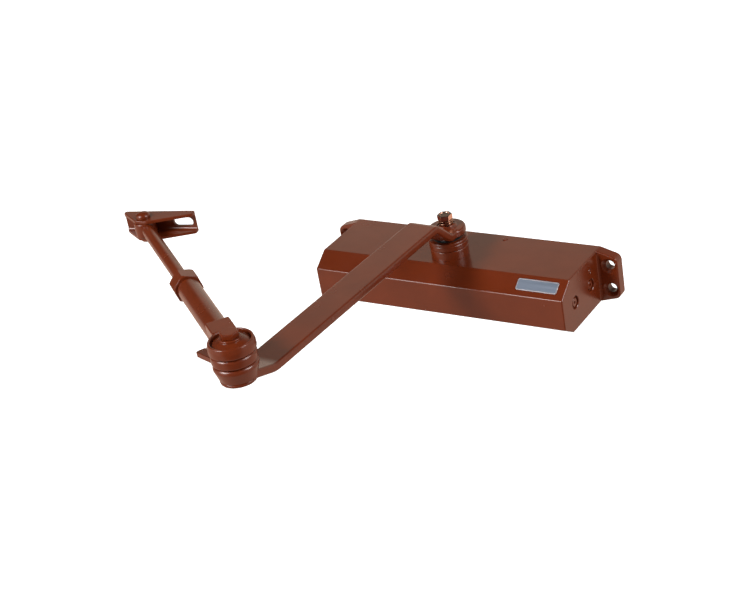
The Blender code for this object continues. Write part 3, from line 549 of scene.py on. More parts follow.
def enamel(name, colour, roughness=0.23):
    """Gloss enamel on metal: cloudy film, long-wave orange peel, dust specks, and paler thin edges that are partly
    wear and partly a painted highlight.
    """
    made = Nodes(name, colour, 0.0, roughness)
    clouds = made.remap(made.noise(26, 4, 0.55), 0.3, 0.7, 0, 1)
    film = made.mix(clouds, toned(colour, 0.86), toned(colour, 1.12))
    specks = made.remap(made.noise(700, 1, 0.4), 0.72, 0.8, 0, 0.5)
    film = made.mix(specks, film, toned(colour, 0.55))
    # Paler paint on convex edges, broken up by noise: partly wear, partly a painted highlight standing in for the
    # light lines that rounded edges catch.
    thin = made.edges(0.54, 0.64)
    worn_and_sheen_patches = made.remap(made.noise(170, 3, 0.6), 0.5, 0.75, 0, 0.35)
    wear_and_sheen = made.node("ShaderNodeMath", operation="MULTIPLY")
    made.link(thin, wear_and_sheen.inputs[0])
    made.link(worn_and_sheen_patches, wear_and_sheen.inputs[1])
    bare_and_sheen_colour = (colour[0] * 1.8, colour[1] * 2.4, colour[2] * 3)
    made.colour(made.mix(wear_and_sheen.outputs[0], film, bare_and_sheen_colour))
    haze = made.noise(60, 3, 0.5)
    made.roughness(made.remap(haze, 0.3, 0.7, roughness * 0.85, roughness * 1.2))
    long_wave = made.bump(made.noise(240, 2, 0.5), 0.00003, 0.3)
    made.normal(made.bump(made.noise(1300, 1, 0.5), 0.00001, 0.2, long_wave))
    return made.material


def bare_metal(name, colour, roughness, oxide=0.25, painted_dark_top=False):
    """Turned, ground or drawn metal: fine grain, blotches of oxide; a darker top, where asked for, is painted
    shade.
    """
    made = Nodes(name, colour, 1.0, roughness)
    blotches = made.remap(made.noise(45, 4, 0.6), 0.35, 0.7, 0, 1)
    skin = made.mix(blotches, colour, toned(colour, 1 - oxide))
    if painted_dark_top:
        # Painted shade: faces that point up are darkened to a sixth of the colour, standing in for the dark
        # overhead that they reflect.
        split = made.node("ShaderNodeSeparateXYZ")
        made.link(made.node("ShaderNodeNewGeometry").outputs["Normal"], split.inputs[0])
        upward = made.remap(split.outputs["Z"], 0.75, 0.95, 0, 1)
        skin = made.mix(upward, skin, toned(colour, 0.16))
    made.colour(skin)
    lines = made.noise(400, 2, 0.6)
    made.roughness(made.remap(lines, 0.3, 0.7, roughness * 0.75, roughness * 1.3))
    made.normal(made.bump(lines, 0.00003, 0.3))
    return made.material


def moulded(name, colour, roughness):
    """Rubber or plastic: soft mottle and a fine matt skin."""
    made = Nodes(name, colour, 0.0, roughness)
    made.colour(made.mix(made.noise(70, 3, 0.5), colour, toned(colour, 0.75)))
    made.roughness(made.remap(made.noise(300, 2, 0.5), 0.3, 0.7, roughness * 0.9, roughness * 1.1))
    made.normal(made.bump(made.noise(900, 2, 0.5), 0.00003, 0.3))
    return made.material


def label_metal(name, low, high):
    """Brushed aluminium foil under clear lacquer; low and high are the grain's two tones."""
    made = Nodes(name, high, 0.4, 0.34)
    brushed = made.noise(300, 3, 0.6, made.stretched((0.03, 1, 1)))
    made.colour(made.mix(brushed, low, high))
    made.roughness(made.remap(brushed, 0.3, 0.7, 0.28, 0.42))
    made.normal(made.bump(brushed, 0.00002, 0.3))
    made.shader.inputs["Coat Weight"].default_value = 0.4
    made.shader.inputs["Coat Roughness"].default_value = 0.1
    return made.material


BROWN = (0.15, 0.0235, 0.0055)
PAINT = enamel("brown_enamel_gloss", BROWN)
PLUG_PAINT = enamel("brown_enamel_plug", (0.15, 0.022, 0.006), 0.24)
BRONZED = bare_metal("bronzed_steel", (0.46, 0.25, 0.17), 0.22, 0.5)
# The bolt head's top is painted darker, as shade.
BOLT = bare_metal("bronzed_bolt_steel", (0.85, 0.5, 0.38), 0.2, 0.3, painted_dark_top=True)
STEEL = bare_metal("ground_steel", (0.55, 0.56, 0.58), 0.28)
SPRING = bare_metal("spring_wire", (0.3, 0.3, 0.31), 0.35)
BRONZE = bare_metal("bearing_bronze", (0.6, 0.4, 0.18), 0.35)
RUBBER = moulded("seal_rubber", (0.02, 0.02, 0.02), 0.6)
SEAL = moulded("piston_ring_plastic", (0.72, 0.68, 0.55), 0.5)
CAP = moulded("cap_plastic", (0.1, 0.018, 0.006), 0.4)
LABEL = label_metal("label_foil", (0.2, 0.25, 0.33), (0.34, 0.39, 0.5))
RIM = label_metal("label_rim", (0.42, 0.39, 0.42), (0.62, 0.57, 0.6))


# ---------------------------------------------------------------- housing


def bar_section():
    front, top = BODY_FRONT, HALF_HEIGHT
    return [
        (0.0, -top),
        (0.0, top),
        (front + TOP_CHAMFER[0], top),
        (front, top - TOP_CHAMFER[1]),
        (front, LOW_CHAMFER[1] - top),
        (front + LOW_CHAMFER[0], -top),
    ]


def ear_corners(side):
    """Front view of an ear, drawn from inside the bar's end."""
    root = BODY_END - 6
    reach = BODY_END + EAR_REACH
    upper = HALF_HEIGHT - 0.05
    tip = upper - math.tan(EAR_TAPER) * EAR_REACH
    lower_edge = [(root, -upper), (BODY_END, -upper), (reach, -tip)]
    upper_edge = [(reach, tip), (BODY_END, upper), (root, upper)]
    corners = [(side * x, z) for x, z in lower_edge + upper_edge]
    return corners if side > 0 else corners[::-1]


def screw_cutter(side, level):
    """A countersunk screw hole; side is the ear and level the upper or lower hole."""
    deep = SCREW_SINK - SCREW_HOLE
    profile = [(0, -1), (SCREW_SINK + 1, -1), (SCREW_HOLE, deep), (SCREW_HOLE, 12), (0, 12)]
    sink = turned(profile, [0, 0, 0.5, 0, 0], 64)
    turn = Matrix.Rotation(-math.pi / 2, 4, "X")
    middle = (side * (BODY_END + SCREW_INSET), -EAR_THICKNESS, level * SCREW_HALF_PITCH)
    return make("screw_hole", sink, Matrix.Translation(middle) @ turn)


def ear_fillet(side):
    """Plan of the concave blend between the bar's end and the front of an ear."""
    sunk = 0.05
    across, forward = BODY_END + EAR_FILLET - sunk, sunk - EAR_THICKNESS - EAR_FILLET
    curve = []
    for step in range(13):
        turn = math.radians(90 + 7.5 * step)
        curve.append((across + EAR_FILLET * math.cos(turn), forward + EAR_FILLET * math.sin(turn)))
    inside = 1 - EAR_THICKNESS
    corners = [*curve, (BODY_END - 1, forward), (BODY_END - 1, inside), (across, inside)]
    return [(side * x, y) for x, y in corners][::side]


def label_matrix():
    """Plan of the label: local x along the body, local y down the chamfer, local z outward."""
    down = Vector((0.0, -TOP_CHAMFER[0], -TOP_CHAMFER[1])).normalized()
    out = Vector((0.0, down.z, -down.y))
    edge = Vector((LABEL_LEFT, BODY_FRONT + TOP_CHAMFER[0], HALF_HEIGHT)) + down * LABEL_DOWN
    matrix = Matrix((Vector((1, 0, 0)), down, out)).transposed().to_4x4()
    matrix.translation = edge
    return matrix


def label_corners(inset):
    return rectangle(inset, LABEL_SIZE[0] - inset, inset, LABEL_SIZE[1] - inset)


def plug_places():
    """Where the two ball plugs sit: on the top face and on the right end face."""
    top_low, top_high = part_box("ball_plug")
    end_low, end_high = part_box("end_ball_plug")
    top = (top_low + top_high) / 2 / TO_METRES
    end = (end_low + end_high) / 2 / TO_METRES
    return {
        "ball_plug": Matrix.Translation((top.x, top.y, HALF_HEIGHT)),
        "end_ball_plug": Matrix.Translation((BODY_END, end.y, end.z)) @ LAID,
    }


def build_plugs():
    """Swaged balls, painted over with the body."""
    radius = PLUG_HOLE - 0.12
    crown = [(radius, -0.45), (radius * 0.6, 0.12), (0, 0.28)]
    profile = [(0, -PLUG_LENGTH), (radius, -PLUG_LENGTH), *crown]
    for node, matrix in plug_places().items():
        plug = make(f"{node}_ball", turned(profile, [0, 0, 0.8, 0.8, 0], 32), matrix)
        place(plug, "closer_body", node, "brown_enamel", PAINT)


def build_valves():
    """Regulating screws: heads with a hexagonal socket, painted over, in shallow round recesses."""
    tip, taper_end = VALVE_NEEDLE
    face = BODY_END - VALVE_SUNK
    profile = [(0, tip), (1.2, tip + 1.5), (VALVE_RADIUS, taper_end)]
    profile += [(VALVE_RADIUS, VALVE_GROOVE[0])]
    profile += [(VALVE_RADIUS - 1.2, level) for level in VALVE_GROOVE]
    profile += [(VALVE_RADIUS, VALVE_GROOVE[1]), (VALVE_RADIUS, face), (0, face)]
    radii = [0, 0, 0, 0, 0, 0, 0, 0.45, 0]
    for name, y in zip(("sweep", "latch"), VALVE_YS):
        spot = Matrix.Translation((0, y, 0)) @ LAID
        screw = make(f"{name}_valve_screw", turned(profile, radii, 48), spot)
        hexagon = hex_outline(VALVE_SOCKET_FLATS)
        socket = slab(hexagon, 0, face - VALVE_SOCKET_DEPTH, face + 1, (0, 0))
        combine(screw, "DIFFERENCE", make("socket", socket, spot))
        soften(screw, 0.12, 2, 50)
        place(screw, f"{name}_screw", f"{name}_valve", "brown_enamel", PAINT)


def build_housing():
    """The casting: bar, ears and bosses, with every bore, recess and screw hole cut in it."""
    radii = [0.3, 0.3] + [CAST_RADIUS] * 4
    section = slab(bar_section(), radii, -BODY_END, BODY_END, (CAST_RIM, CAST_RIM), up="X")
    housing = make("housing_casting", section)
    ear_radii = [0.2, EAR_CORNER, EAR_TIP_CORNER, EAR_TIP_CORNER, EAR_CORNER, 0.2]
    for side in (-1, 1):
        ear = slab(ear_corners(side), ear_radii, -EAR_THICKNESS, 0.0, (1.1, 0.3), up="Y")
        blend = slab(ear_fillet(side), 0, -EAR_FILLET_HALF, EAR_FILLET_HALF, (0, 0))
        combine(housing, "UNION", make("ear", ear), make("ear_fillet", blend))
    root = HALF_HEIGHT - 3
    boss = rod_along(BOSS_RADIUS, root, BOSS_TOP, [0, 0, 0.8, 0], ROUND)
    boss_below = rod_along(BOSS_RADIUS, LOWER_BOSS, -root, [0, 0.7, 0, 0], ROUND)
    upper = make("boss", boss, AT_SPINDLE)
    lower = make("boss_below", boss_below, AT_SPINDLE)
    combine(housing, "UNION", upper, lower)
    end = -BODY_END
    bore = [
        (0, end - 1),
        (PLUG_RADIUS, end - 1),
        (PLUG_RADIUS, end + PLUG_DEPTH),
        (CYLINDER_RADIUS, end + PLUG_DEPTH),
        (CYLINDER_RADIUS, CYLINDER_END),
        (0, CYLINDER_END),
    ]
    cutters = [make("bore", turned(bore), AT_CYLINDER)]
    duct, bottom = CYLINDER_END - 1, VALVE_NEEDLE[0] - 2
    clear, seat, bevel = VALVE_RADIUS + GAP, BODY_END - VALVE_RECESS_DEPTH, 0.35
    valve = [
        (0, duct),
        (1, duct),
        (1, bottom),
        (clear, bottom),
        (clear, seat),
        (VALVE_RECESS, seat),
        (VALVE_RECESS, BODY_END - bevel),
        (VALVE_RECESS + bevel, BODY_END),
        (VALVE_RECESS + bevel, BODY_END + 1),
        (0, BODY_END + 1),
    ]
    for y in VALVE_YS:
        spot = Matrix.Translation((0, y, 0)) @ LAID
        cutters.append(make("valve_bore", turned(valve, 0, 48), spot))
    narrow = [(0, LOWER_BOSS - 2), (BEARING_SEAT, LOWER_BOSS - 2), (BEARING_SEAT, 0)]
    wide = [(SHAFT_SEAT, 0), (SHAFT_SEAT, BOSS_TOP + 1.6), (0, BOSS_TOP + 1.6)]
    cutters.append(make("spindle_bore", turned(narrow + wide), AT_SPINDLE))
    cutters += [screw_cutter(side, level) for side in (-1, 1) for level in (-1, 1)]
    mouth = PLUG_HOLE + 0.25
    hole = [(0, -5), (PLUG_HOLE, -5), (PLUG_HOLE, -0.25), (mouth, 0), (mouth, 1), (0, 1)]
    for matrix in plug_places().values():
        cutters.append(make("plug_hole", turned(hole, 0, 32), matrix))
    label_seat = slab(label_corners(0), 1.4, -0.8, 1.0, (0, 0))
    cutters.append(make("label_seat", label_seat, label_matrix()))
    combine(housing, "DIFFERENCE", *cutters)
    place(housing, "closer_body", "body_housing", "brown_enamel", PAINT)


def build_spring():
    """The closing spring, drawn at one fixed length; the real spring shortens as the piston comes towards its
    fixed end.
    """
    low, high = (corner / TO_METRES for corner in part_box("closing_spring"))
    first = low.x + SPRING_WIRE
    travel = high.x - SPRING_WIRE - first
    steps = round(SPRING_TURNS * 32)
    rings = []
    for i in range(steps + 1):
        turn = 2 * math.pi * SPRING_TURNS * i / steps
        outward = Vector((0.0, math.cos(turn), math.sin(turn)))
        centre = outward * SPRING_RADIUS + Vector((first + travel * i / steps, 0.0, 0.0))
        ring = []
        for k in range(12):
            around = math.radians(30 * k)
            aside = Vector((math.sin(around) * SPRING_WIRE, 0.0, 0.0))
            ring.append(centre + outward * (SPRING_WIRE * math.cos(around)) + aside)
        rings.append(ring)
    coil = make("closing_spring_coil", loft(rings), Matrix.Translation((0, CYLINDER_Y, 0)))
    place(coil, "closer_body", "closing_spring", "spring_steel", SPRING)
    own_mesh(coil)


def build_label():
    """A blank plate: bright rim, and a field let in a hair below it."""
    spot = label_matrix()
    rim = make("label_plate_rim", slab(label_corners(GAP), 1.5, -0.5, 0.1, (0, 0.12)), spot)
    seat = slab(label_corners(LABEL_RIM), 0.9, 0.0, 0.3, (0, 0))
    combine(rim, "DIFFERENCE", make("field_seat", seat, spot))
    place(rim, "closer_body", "label_plate", "label_aluminium", RIM)
    field = slab(label_corners(LABEL_RIM + 0.06), 0.85, 0.005, 0.07, (0, 0.03))
    place(make("label_plate_field", field, spot), "closer_body", None, "label_aluminium", LABEL)


def build_gland():
    """The collar ring on the boss, with a fine groove round it and a seat for the shaft seal."""
    root, shelf = BOSS_TOP - 2.1, BOSS_TOP + GAP
    groove, seat = BOSS_TOP + 4.4, GLAND_TOP - 3.9
    gland = [
        (GLAND_BORE, root),
        (GLAND_STEM, root),
        (GLAND_STEM, shelf),
        (GLAND_RADIUS, shelf),
        (GLAND_RADIUS, groove - 0.4),
        (GLAND_RADIUS - 0.35, groove),
        (GLAND_RADIUS, groove + 0.4),
        (GLAND_RADIUS, GLAND_TOP),
        (GLAND_SEAT, GLAND_TOP),
        (GLAND_SEAT, seat),
        (GLAND_BORE, seat),
    ]
    radii = [0, 0, 0, 0.6, 0.2, 0.2, 0.2, 0.9, 0.5, 0, 0]
    piece = make("spindle_gland_ring", turned(gland, radii), AT_SPINDLE)
    place(piece, "closer_body", "spindle_gland", "brown_enamel", PAINT)


# ---------------------------------------------------------------- main arm


def bar_path():
    """Centre line of the bar in side view, as (distance from the spindle, height)."""
    half = ARM_THICKNESS / 2
    eye = EYE_BOTTOM + half - 0.2
    flat = BAR_TOP - half
    return [
        (3.0, eye),
        (12.5, eye),
        (CREST - 1.0, flat),
        (ARM_LENGTH - PAD_START, flat),
        (ARM_LENGTH - PAD_END, flat + PAD_RISE),
        (ARM_LENGTH + 1.0, flat + PAD_RISE),
    ]


def swept_bar(path, bend_radii, half_width, thickness, rim):
    """A flat bar with rounded edges swept along a side-view path with rounded bends."""
    points = [Vector(path[0])]
    for i in range(1, len(path) - 1):
        corner = [Vector(path[k]) for k in (i - 1, i, i + 1)]
        points += fillet(*corner, bend_radii[i - 1], 10)
    points.append(Vector(path[-1]))
    half = thickness / 2
    section = outline(rectangle(-half_width, half_width, -half, half), rim)
    rings = []
    for i, point in enumerate(points):
        before = points[max(i - 1, 0)]
        after = points[min(i + 1, len(points) - 1)]
        along = (after - before).normalized()
        up = Vector((-along.y, along.x))
        rings.append(
            [Vector((point.x + up.x * p.y, p.x, point.y + up.y * p.y)) for p in section]
        )
    return loft(rings)


def build_main_arm():
    """A cranked bar, with an eye on the spindle's square and a boss at the elbow."""
    bends = (7.0, 6.0, 26.0, 10.0)
    bar = swept_bar(bar_path(), bends, ARM_HALF_WIDTH, ARM_THICKNESS, ARM_RIM)
    arm = make("main_arm_bar", bar, AT_ARM)
    eye = [
        (0, EYE_BOTTOM),
        (EYE_RADIUS, EYE_BOTTOM),
        (EYE_RADIUS, EYE_TOP),
        (HUB_RADIUS + 0.9, EYE_TOP),
        (HUB_RADIUS, HUB_TOP),
        (0, HUB_TOP),
    ]
    eye_shape = make("eye", turned(eye, [0, 1.0, 1.6, 0.9, 0.7, 0]), AT_SPINDLE)
    boss = [
        (0, ELBOW_BOTTOM),
        (ELBOW_TAPER - 0.2, ELBOW_BOTTOM),
        (ELBOW_TAPER, ELBOW_BOTTOM + 2.2),
        (ELBOW_TAPER - 0.5, ELBOW_BOTTOM + 2.5),
        (ELBOW_TAPER - 0.1, ELBOW_BOTTOM + 2.9),
        (ELBOW_RADIUS, ELBOW_SHOULDER),
        (ELBOW_RADIUS, ELBOW_TOP),
        (0, ELBOW_TOP),
    ]
    boss_radii = [0, 1.2, 0.2, 0.1, 0.2, 3.0, 2.6, 0]
    boss_shape = make("elbow_boss", turned(boss, boss_radii), AT_ELBOW)
    combine(arm, "UNION", eye_shape, boss_shape)
    square = rectangle(-SQUARE_HALF, SQUARE_HALF, -SQUARE_HALF, SQUARE_HALF)
    socket = make("socket", slab(square, 0.3, EYE_BOTTOM - 1, HUB_TOP + 1, (0, 0)), AT_ARM)
    clear = PIN_RADIUS + GAP
    hole = [
        (0, ELBOW_BOTTOM - 1),
        (PIN_HEAD_SEAT, ELBOW_BOTTOM - 1),
        (PIN_HEAD_SEAT, ELBOW_BOTTOM + PIN_HEAD_DEPTH),
        (clear, ELBOW_BOTTOM + PIN_HEAD_DEPTH),
        (clear, ELBOW_TOP + 1),
        (0, ELBOW_TOP + 1),
    ]
    combine(arm, "DIFFERENCE", socket, make("pin_hole", turned(hole, 0, 48), AT_ELBOW))
    place(arm, "spindle", "main_arm", "brown_enamel", PAINT)


def build_spindle_fasteners():
    """A flat washer, a split spring washer with its slanting gap, and the dished hexagon bolt."""
    flat = ring_along(WASHER_BORE, WASHER_RADIUS, HUB_TOP + GAP, WASHER_TOP, 0.25, 64)
    place(make("arm_flat_washer", flat, AT_ARM), "spindle", "arm_washer", "bronzed_steel", BRONZED)
    bottom = WASHER_TOP + 0.2
    ring = ring_along(WASHER_BORE, LOCK_WASHER_RADIUS, bottom, LOCK_WASHER_TOP, 0.2, 64)
    lock = make("arm_lock_washer", ring, AT_ARM)
    split = slab(rectangle(2, 7, -0.5, 0.5), 0, bottom - 1.1, LOCK_WASHER_TOP + 1, (0, 0))
    middle = (bottom + LOCK_WASHER_TOP) / 2
    pivot = Vector(((WASHER_BORE + LOCK_WASHER_RADIUS) / 2, 0, middle))
    slant = Matrix.Rotation(LOCK_WASHER_SLANT, 4, "X")
    tilt = Matrix.Translation(pivot) @ slant @ Matrix.Translation(-pivot)
    combine(lock, "DIFFERENCE", make("split", split, AT_ARM @ tilt))
    place(lock, "spindle", "arm_spring_washer", "bronzed_steel", BRONZED)
    low, high = BOLT_HEAD
    head = make("bolt_head", slab(hex_outline(BOLT_FLATS), 0.25, low, high, (0.3, 0.3)), AT_ARM)
    crown = [(6.5, high - 0.9), (4.7, high + 0.2), (0, high + 0.2)]
    rounder = turned([(0, low - 0.8), (6.5, low - 0.8), *crown], 0, 64)
    combine(head, "INTERSECT", make("rounder", rounder, AT_ARM))
    dish = turned([(0, high - 0.5), (3.4, high - 0.5), (3.9, high + 1.2), (0, high + 1.2)], 0, 48)
    combine(head, "DIFFERENCE", make("dish", dish, AT_ARM))
    combine(head, "UNION", make("shank", rod_along(BOLT_SHANK, BOLT_END, low + 1.2), AT_ARM))
    soften(head, 0.16, 2, 35)
    place(head, "spindle", "arm_bolt", "bronzed_steel", BOLT)


# ---------------------------------------------------------------- elbow and forearm


def build_disc():
    """The hold-open disc, with the pointed tab that sets it by hand."""
    low = ELBOW_TOP + GAP
    ring = ring_along(PIN_RADIUS + GAP, DISC_RADIUS, low, DISC_TOP, [0.3, 1.6, 2.2, 0.3], ROUND)
    disc = make("hold_open_ring", ring, AT_ELBOW)
    tab = slab(DISC_TAB, [1.6, 1.6, 0.3, 0.3], low + 0.1, low + 4.0, (0.6, 0.6))
    combine(disc, "UNION", make("tab", tab, AT_ELBOW))
    place(disc, "hold_open", "hold_open_disc", "brown_enamel", PAINT)


def build_forearm_tube():
    """The cup at the elbow, the block on its side and the tube that the rod runs in."""
    cup = [
        (CUP_BORE, CUP_BOTTOM),
        (CUP_RADIUS, CUP_BOTTOM),
        (CUP_RADIUS, CUP_TOP - 3.2),
        (CUP_RADIUS - 0.9, CUP_TOP),
        (CUP_INNER, CUP_TOP),
        (CUP_INNER, CUP_FLOOR),
        (CUP_BORE, CUP_FLOOR),
    ]
    tube = make("forearm_socket", turned(cup, [0, 1.5, 5.0, 0.8, 0.6, 0.4, 0]), AT_ELBOW)
    plan = rectangle(*BLOCK_ENDS, -TUBE_RADIUS, TUBE_RADIUS)
    block = slab(plan, [0.3, 1.2, 1.2, 0.3], CUP_BOTTOM + 0.2, CUP_TOP - 0.3, (0.5, 0.8))
    shoulder = make("shoulder", block, AT_FOREARM)
    barrel = make("barrel", rod_along(TUBE_RADIUS, TUBE_START, TUBE_END, 1.0, 80), AT_CENTRE_LINE)
    combine(tube, "UNION", shoulder, barrel)
    bore = rod_along(ROD_RADIUS + GAP, TUBE_HOLLOW, TUBE_END + 1, 0, 64)
    combine(tube, "DIFFERENCE", make("tube_bore", bore, AT_CENTRE_LINE))
    place(tube, "forearm", "forearm_tube", "brown_enamel", PAINT)


def build_lock_nut():
    start = TUBE_END + GAP
    end = start + LOCK_NUT_LENGTH
    hexagon = slab(hex_outline(LOCK_NUT_FLATS, LOCK_NUT_PHASE), 0.4, start, end, (0.3, 0.3))
    nut = make("lock_nut_body", hexagon, AT_CENTRE_LINE)
    flat = LOCK_NUT_FLATS / 2 - 0.2
    reach = LOCK_NUT_FLATS / math.sqrt(3) + 0.2
    profile = [(0, start - 1), (flat, start - 0.2), (reach, start + 1.5)]
    profile += [(reach, end - 1.5), (flat, end + 0.2), (0, end + 1)]
    combine(nut, "INTERSECT", make("rounder", turned(profile), AT_CENTRE_LINE))
    bore = rod_along(ROD_RADIUS + GAP, start - 1, end + 1, 0, 64)
    combine(nut, "DIFFERENCE", make("nut_bore", bore, AT_CENTRE_LINE))
    soften(nut, 0.3, 2, 28)
    place(nut, "lock_nut_body", "lock_nut", "brown_enamel", PAINT)


def build_rod():
    """The adjusting rod, with the eye that turns on the shoe's pin."""
    shank = rod_along(ROD_RADIUS, ROD_START, FOREARM_LENGTH - ROD_INTO_EYE, 1.0, 64)
    rod = make("forearm_adjusting_rod", shank, AT_CENTRE_LINE)
    sheet = SHOE_SHEET + GAP
    eye = rod_along(ROD_EYE, SHOE_BOTTOM + sheet, SHOE_TOP - sheet, 1.2, 80)
    combine(rod, "UNION", make("rod_eye", eye, AT_ROD_END))
    hole = rod_along(ROD_EYE_HOLE, SHOE_BOTTOM, SHOE_TOP, 0, 48)
    combine(rod, "DIFFERENCE", make("eye_hole", hole, AT_ROD_END))
    place(rod, "rod", "forearm_rod", "brown_enamel", PAINT)


def build_elbow_fasteners():
    """The stepped dish washer in the cup, and the closed nut on the elbow pin."""
    dish, bore = CUP_INNER - 0.7, ELBOW_NUT_BORE + 0.1
    washer = [
        (bore, CUP_FLOOR + GAP),
        (dish, CUP_FLOOR + GAP),
        (dish, CUP_FLOOR + 1.5),
        (DISH_STEP, CUP_FLOOR + 3.3),
        (DISH_NECK, CUP_FLOOR + 3.7),
        (DISH_NECK, ELBOW_NUT_BOTTOM - GAP),
        (bore, ELBOW_NUT_BOTTOM - GAP),
    ]
    stepped = make("elbow_dish_washer", turned(washer, [0, 0.3, 0.6, 1.0, 0.4, 0.6, 0]), AT_ELBOW)
    place(stepped, "forearm", "elbow_dome_washer", "brown_enamel", PAINT)
    low, high = ELBOW_NUT_BOTTOM, ELBOW_NUT_TOP
    shape = slab(hex_outline(ELBOW_NUT_FLATS), 0.7, low, high, (0.3, 0.6))
    nut = make("elbow_nut_body", shape, AT_FOREARM)
    crown = [(0, low - 1), (7, low - 1), (7, high - 0.9), (5.0, high + 0.1), (0, high + 0.1)]
    combine(nut, "INTERSECT", make("rounder", turned(crown, 0, 64), AT_ELBOW))
    blind = rod_along(ELBOW_NUT_BORE, low - 1, high - 1, 0, 48)
    combine(nut, "DIFFERENCE", make("nut_bore", blind, AT_ELBOW))
    soften(nut, 0.3, 2, 35)
    place(nut, "forearm", "elbow_nut", "brown_enamel", PAINT)


# ---------------------------------------------------------------- frame shoe


def shoe_corners():
    """Plan of the shoe's flanges, from the back face round the nose that holds the pin."""
    return [
        (SHOE_RIGHT, SHOE_BACK),
        (SHOE_LEFT, SHOE_BACK),
        (SHOE_LEFT, SHOE_LEFT_DEPTH),
        *SHOE_NOSE,
        (SHOE_RIGHT, SHOE_RIGHT_DEPTH),
    ]


def build_shoe():
    """A folded channel with tapering flanges, a slot, a round hole and a bore for the pin."""
    radii = [1.5, 1.5, 1.5, 5.0, 6.0, 1.5]
    block = slab(shoe_corners(), radii, SHOE_BOTTOM, SHOE_TOP, (0.6, 0.6))
    shoe = make("frame_shoe", block, AT_SHOE)
    left, right, web = SHOE_LEFT - 5, SHOE_RIGHT + 5, SHOE_BACK - SHOE_SHEET
    inner = [(right, -20), (right, web), (left, web), (left, -20)]
    floor, roof = SHOE_BOTTOM + SHOE_SHEET, SHOE_TOP - SHOE_SHEET
    channel = slab(inner, [0, 1.2, 1.2, 0], floor, roof, (2.2, 2.2))
    middle = (SHOE_BOTTOM + SHOE_TOP) / 2
    half = SHOE_SLOT_HALF
    slot_shape = rectangle(*SHOE_SLOT_ENDS, middle - half, middle + half)
    slot = slab(slot_shape, half - 0.01, SHOE_BACK - 5, SHOE_BACK + 2, (0, 0), up="Y", steps=12)
    hole = rod_along(SHOE_HOLE, -3, 7, 0, 48)
    hole_spot = AT_SHOE @ Matrix.Translation((SHOE_HOLE_X, SHOE_BACK - 3, middle))
    hole_spot = hole_spot @ Matrix.Rotation(-math.pi / 2, 4, "X")
    bore = rod_along(RIVET_SHANK + GAP, SHOE_BOTTOM - 1, SHOE_TOP + 1, 0, 48)
    combine(
        shoe,
        "DIFFERENCE",
        make("channel", channel, AT_SHOE),
        make("slot", slot, AT_SHOE),
        make("hole", hole, hole_spot),
        make("pin_bore", bore, AT_SHOE),
    )
    soften(shoe, 0.35, 2, 50)
    place(shoe, "shoe", "shoe_bracket", "brown_enamel", PAINT)


def build_shoe_pin():
    """The domed pin through the shoe and the rod's eye, and its retaining ring below."""
    base = SHOE_TOP + GAP
    shoulder = SHOE_TOP + RIVET_SIDE
    dome = [
        (RIVET_RADIUS * math.cos(turn), shoulder + RIVET_DOME * math.sin(turn))
        for turn in [math.radians(9 * i) for i in range(10)]
    ]
    dome[-1] = (0.0, shoulder + RIVET_DOME)
    profile = [(0, RIVET_END), (RIVET_SHANK - 0.5, RIVET_END), (RIVET_SHANK, RIVET_END + 0.5)]
    profile += [(RIVET_SHANK, base), (RIVET_RADIUS, base), *dome]
    pin = make("shoe_pin_rivet", turned(profile, 0, 64), AT_SHOE)
    place(pin, "shoe", "shoe_pin", "brown_enamel", PAINT)
    inner, low = RIVET_SHANK + 0.15, RIVET_END + 0.7
    clip = ring_along(inner, CLIP_RADIUS, low, SHOE_BOTTOM - GAP, 0.2, 48)
    place(make("pin_retaining_ring", clip, AT_SHOE), "shoe", "pin_clip", "bronzed_steel", BRONZED)


# ---------------------------------------------------------------- carried-over nodes

FINISHES = {
    "brown_enamel": PAINT,
    "ground_steel": STEEL,
    "bronzed_steel": BRONZED,
    "bearing_bronze": BRONZE,
    "seal_rubber": RUBBER,
    "piston_ring_plastic": SEAL,
    "cap_plastic": CAP,
    "plug_steel": PLUG_PAINT,
    "label_aluminium": LABEL,
    "spring_steel": SPRING,
}


def finish_nodes():
    """Give every CAD node that still shows its procedural material."""
    for row in frame["record"]["subparts"]:
        obj = frame["nodes"][row["node"]]
        if obj.hide_render:
            continue
        obj.data.materials.clear()
        obj.data.materials.append(FINISHES[row["material_slot"]])


# ---------------------------------------------------------------- studio


FLOOR_REACH = 12.0
FLOOR_LEVEL = -0.16


def build_stage():
    """A white floor that takes shadows but isn't mirrored in the paint and doesn't light it."""
    floor = bpy.data.meshes.new("floor")
    plan = rectangle(-FLOOR_REACH, FLOOR_REACH, -FLOOR_REACH, FLOOR_REACH)
    floor.from_pydata([(x, y, FLOOR_LEVEL) for x, y in plan], [], [(0, 1, 2, 3)])
    obj = bpy.data.objects.new("floor", floor)
    bpy.context.scene.collection.objects.link(obj)
    material = bpy.data.materials.new("floor_white")
    material.use_nodes = True
    shader = material.node_tree.nodes["Principled BSDF"]
    shader.inputs["Base Color"].default_value = (0.9, 0.9, 0.9, 1)
    shader.inputs["Emission Color"].default_value = (1.0, 1.0, 1.0, 1)
    shader.inputs["Emission Strength"].default_value = 0.8
    shader.inputs["Roughness"].default_value = 0.9
    shader.inputs["Specular IOR Level"].default_value = 0.0
    floor.materials.append(material)
    obj.visible_diffuse = False
    obj.visible_glossy = False


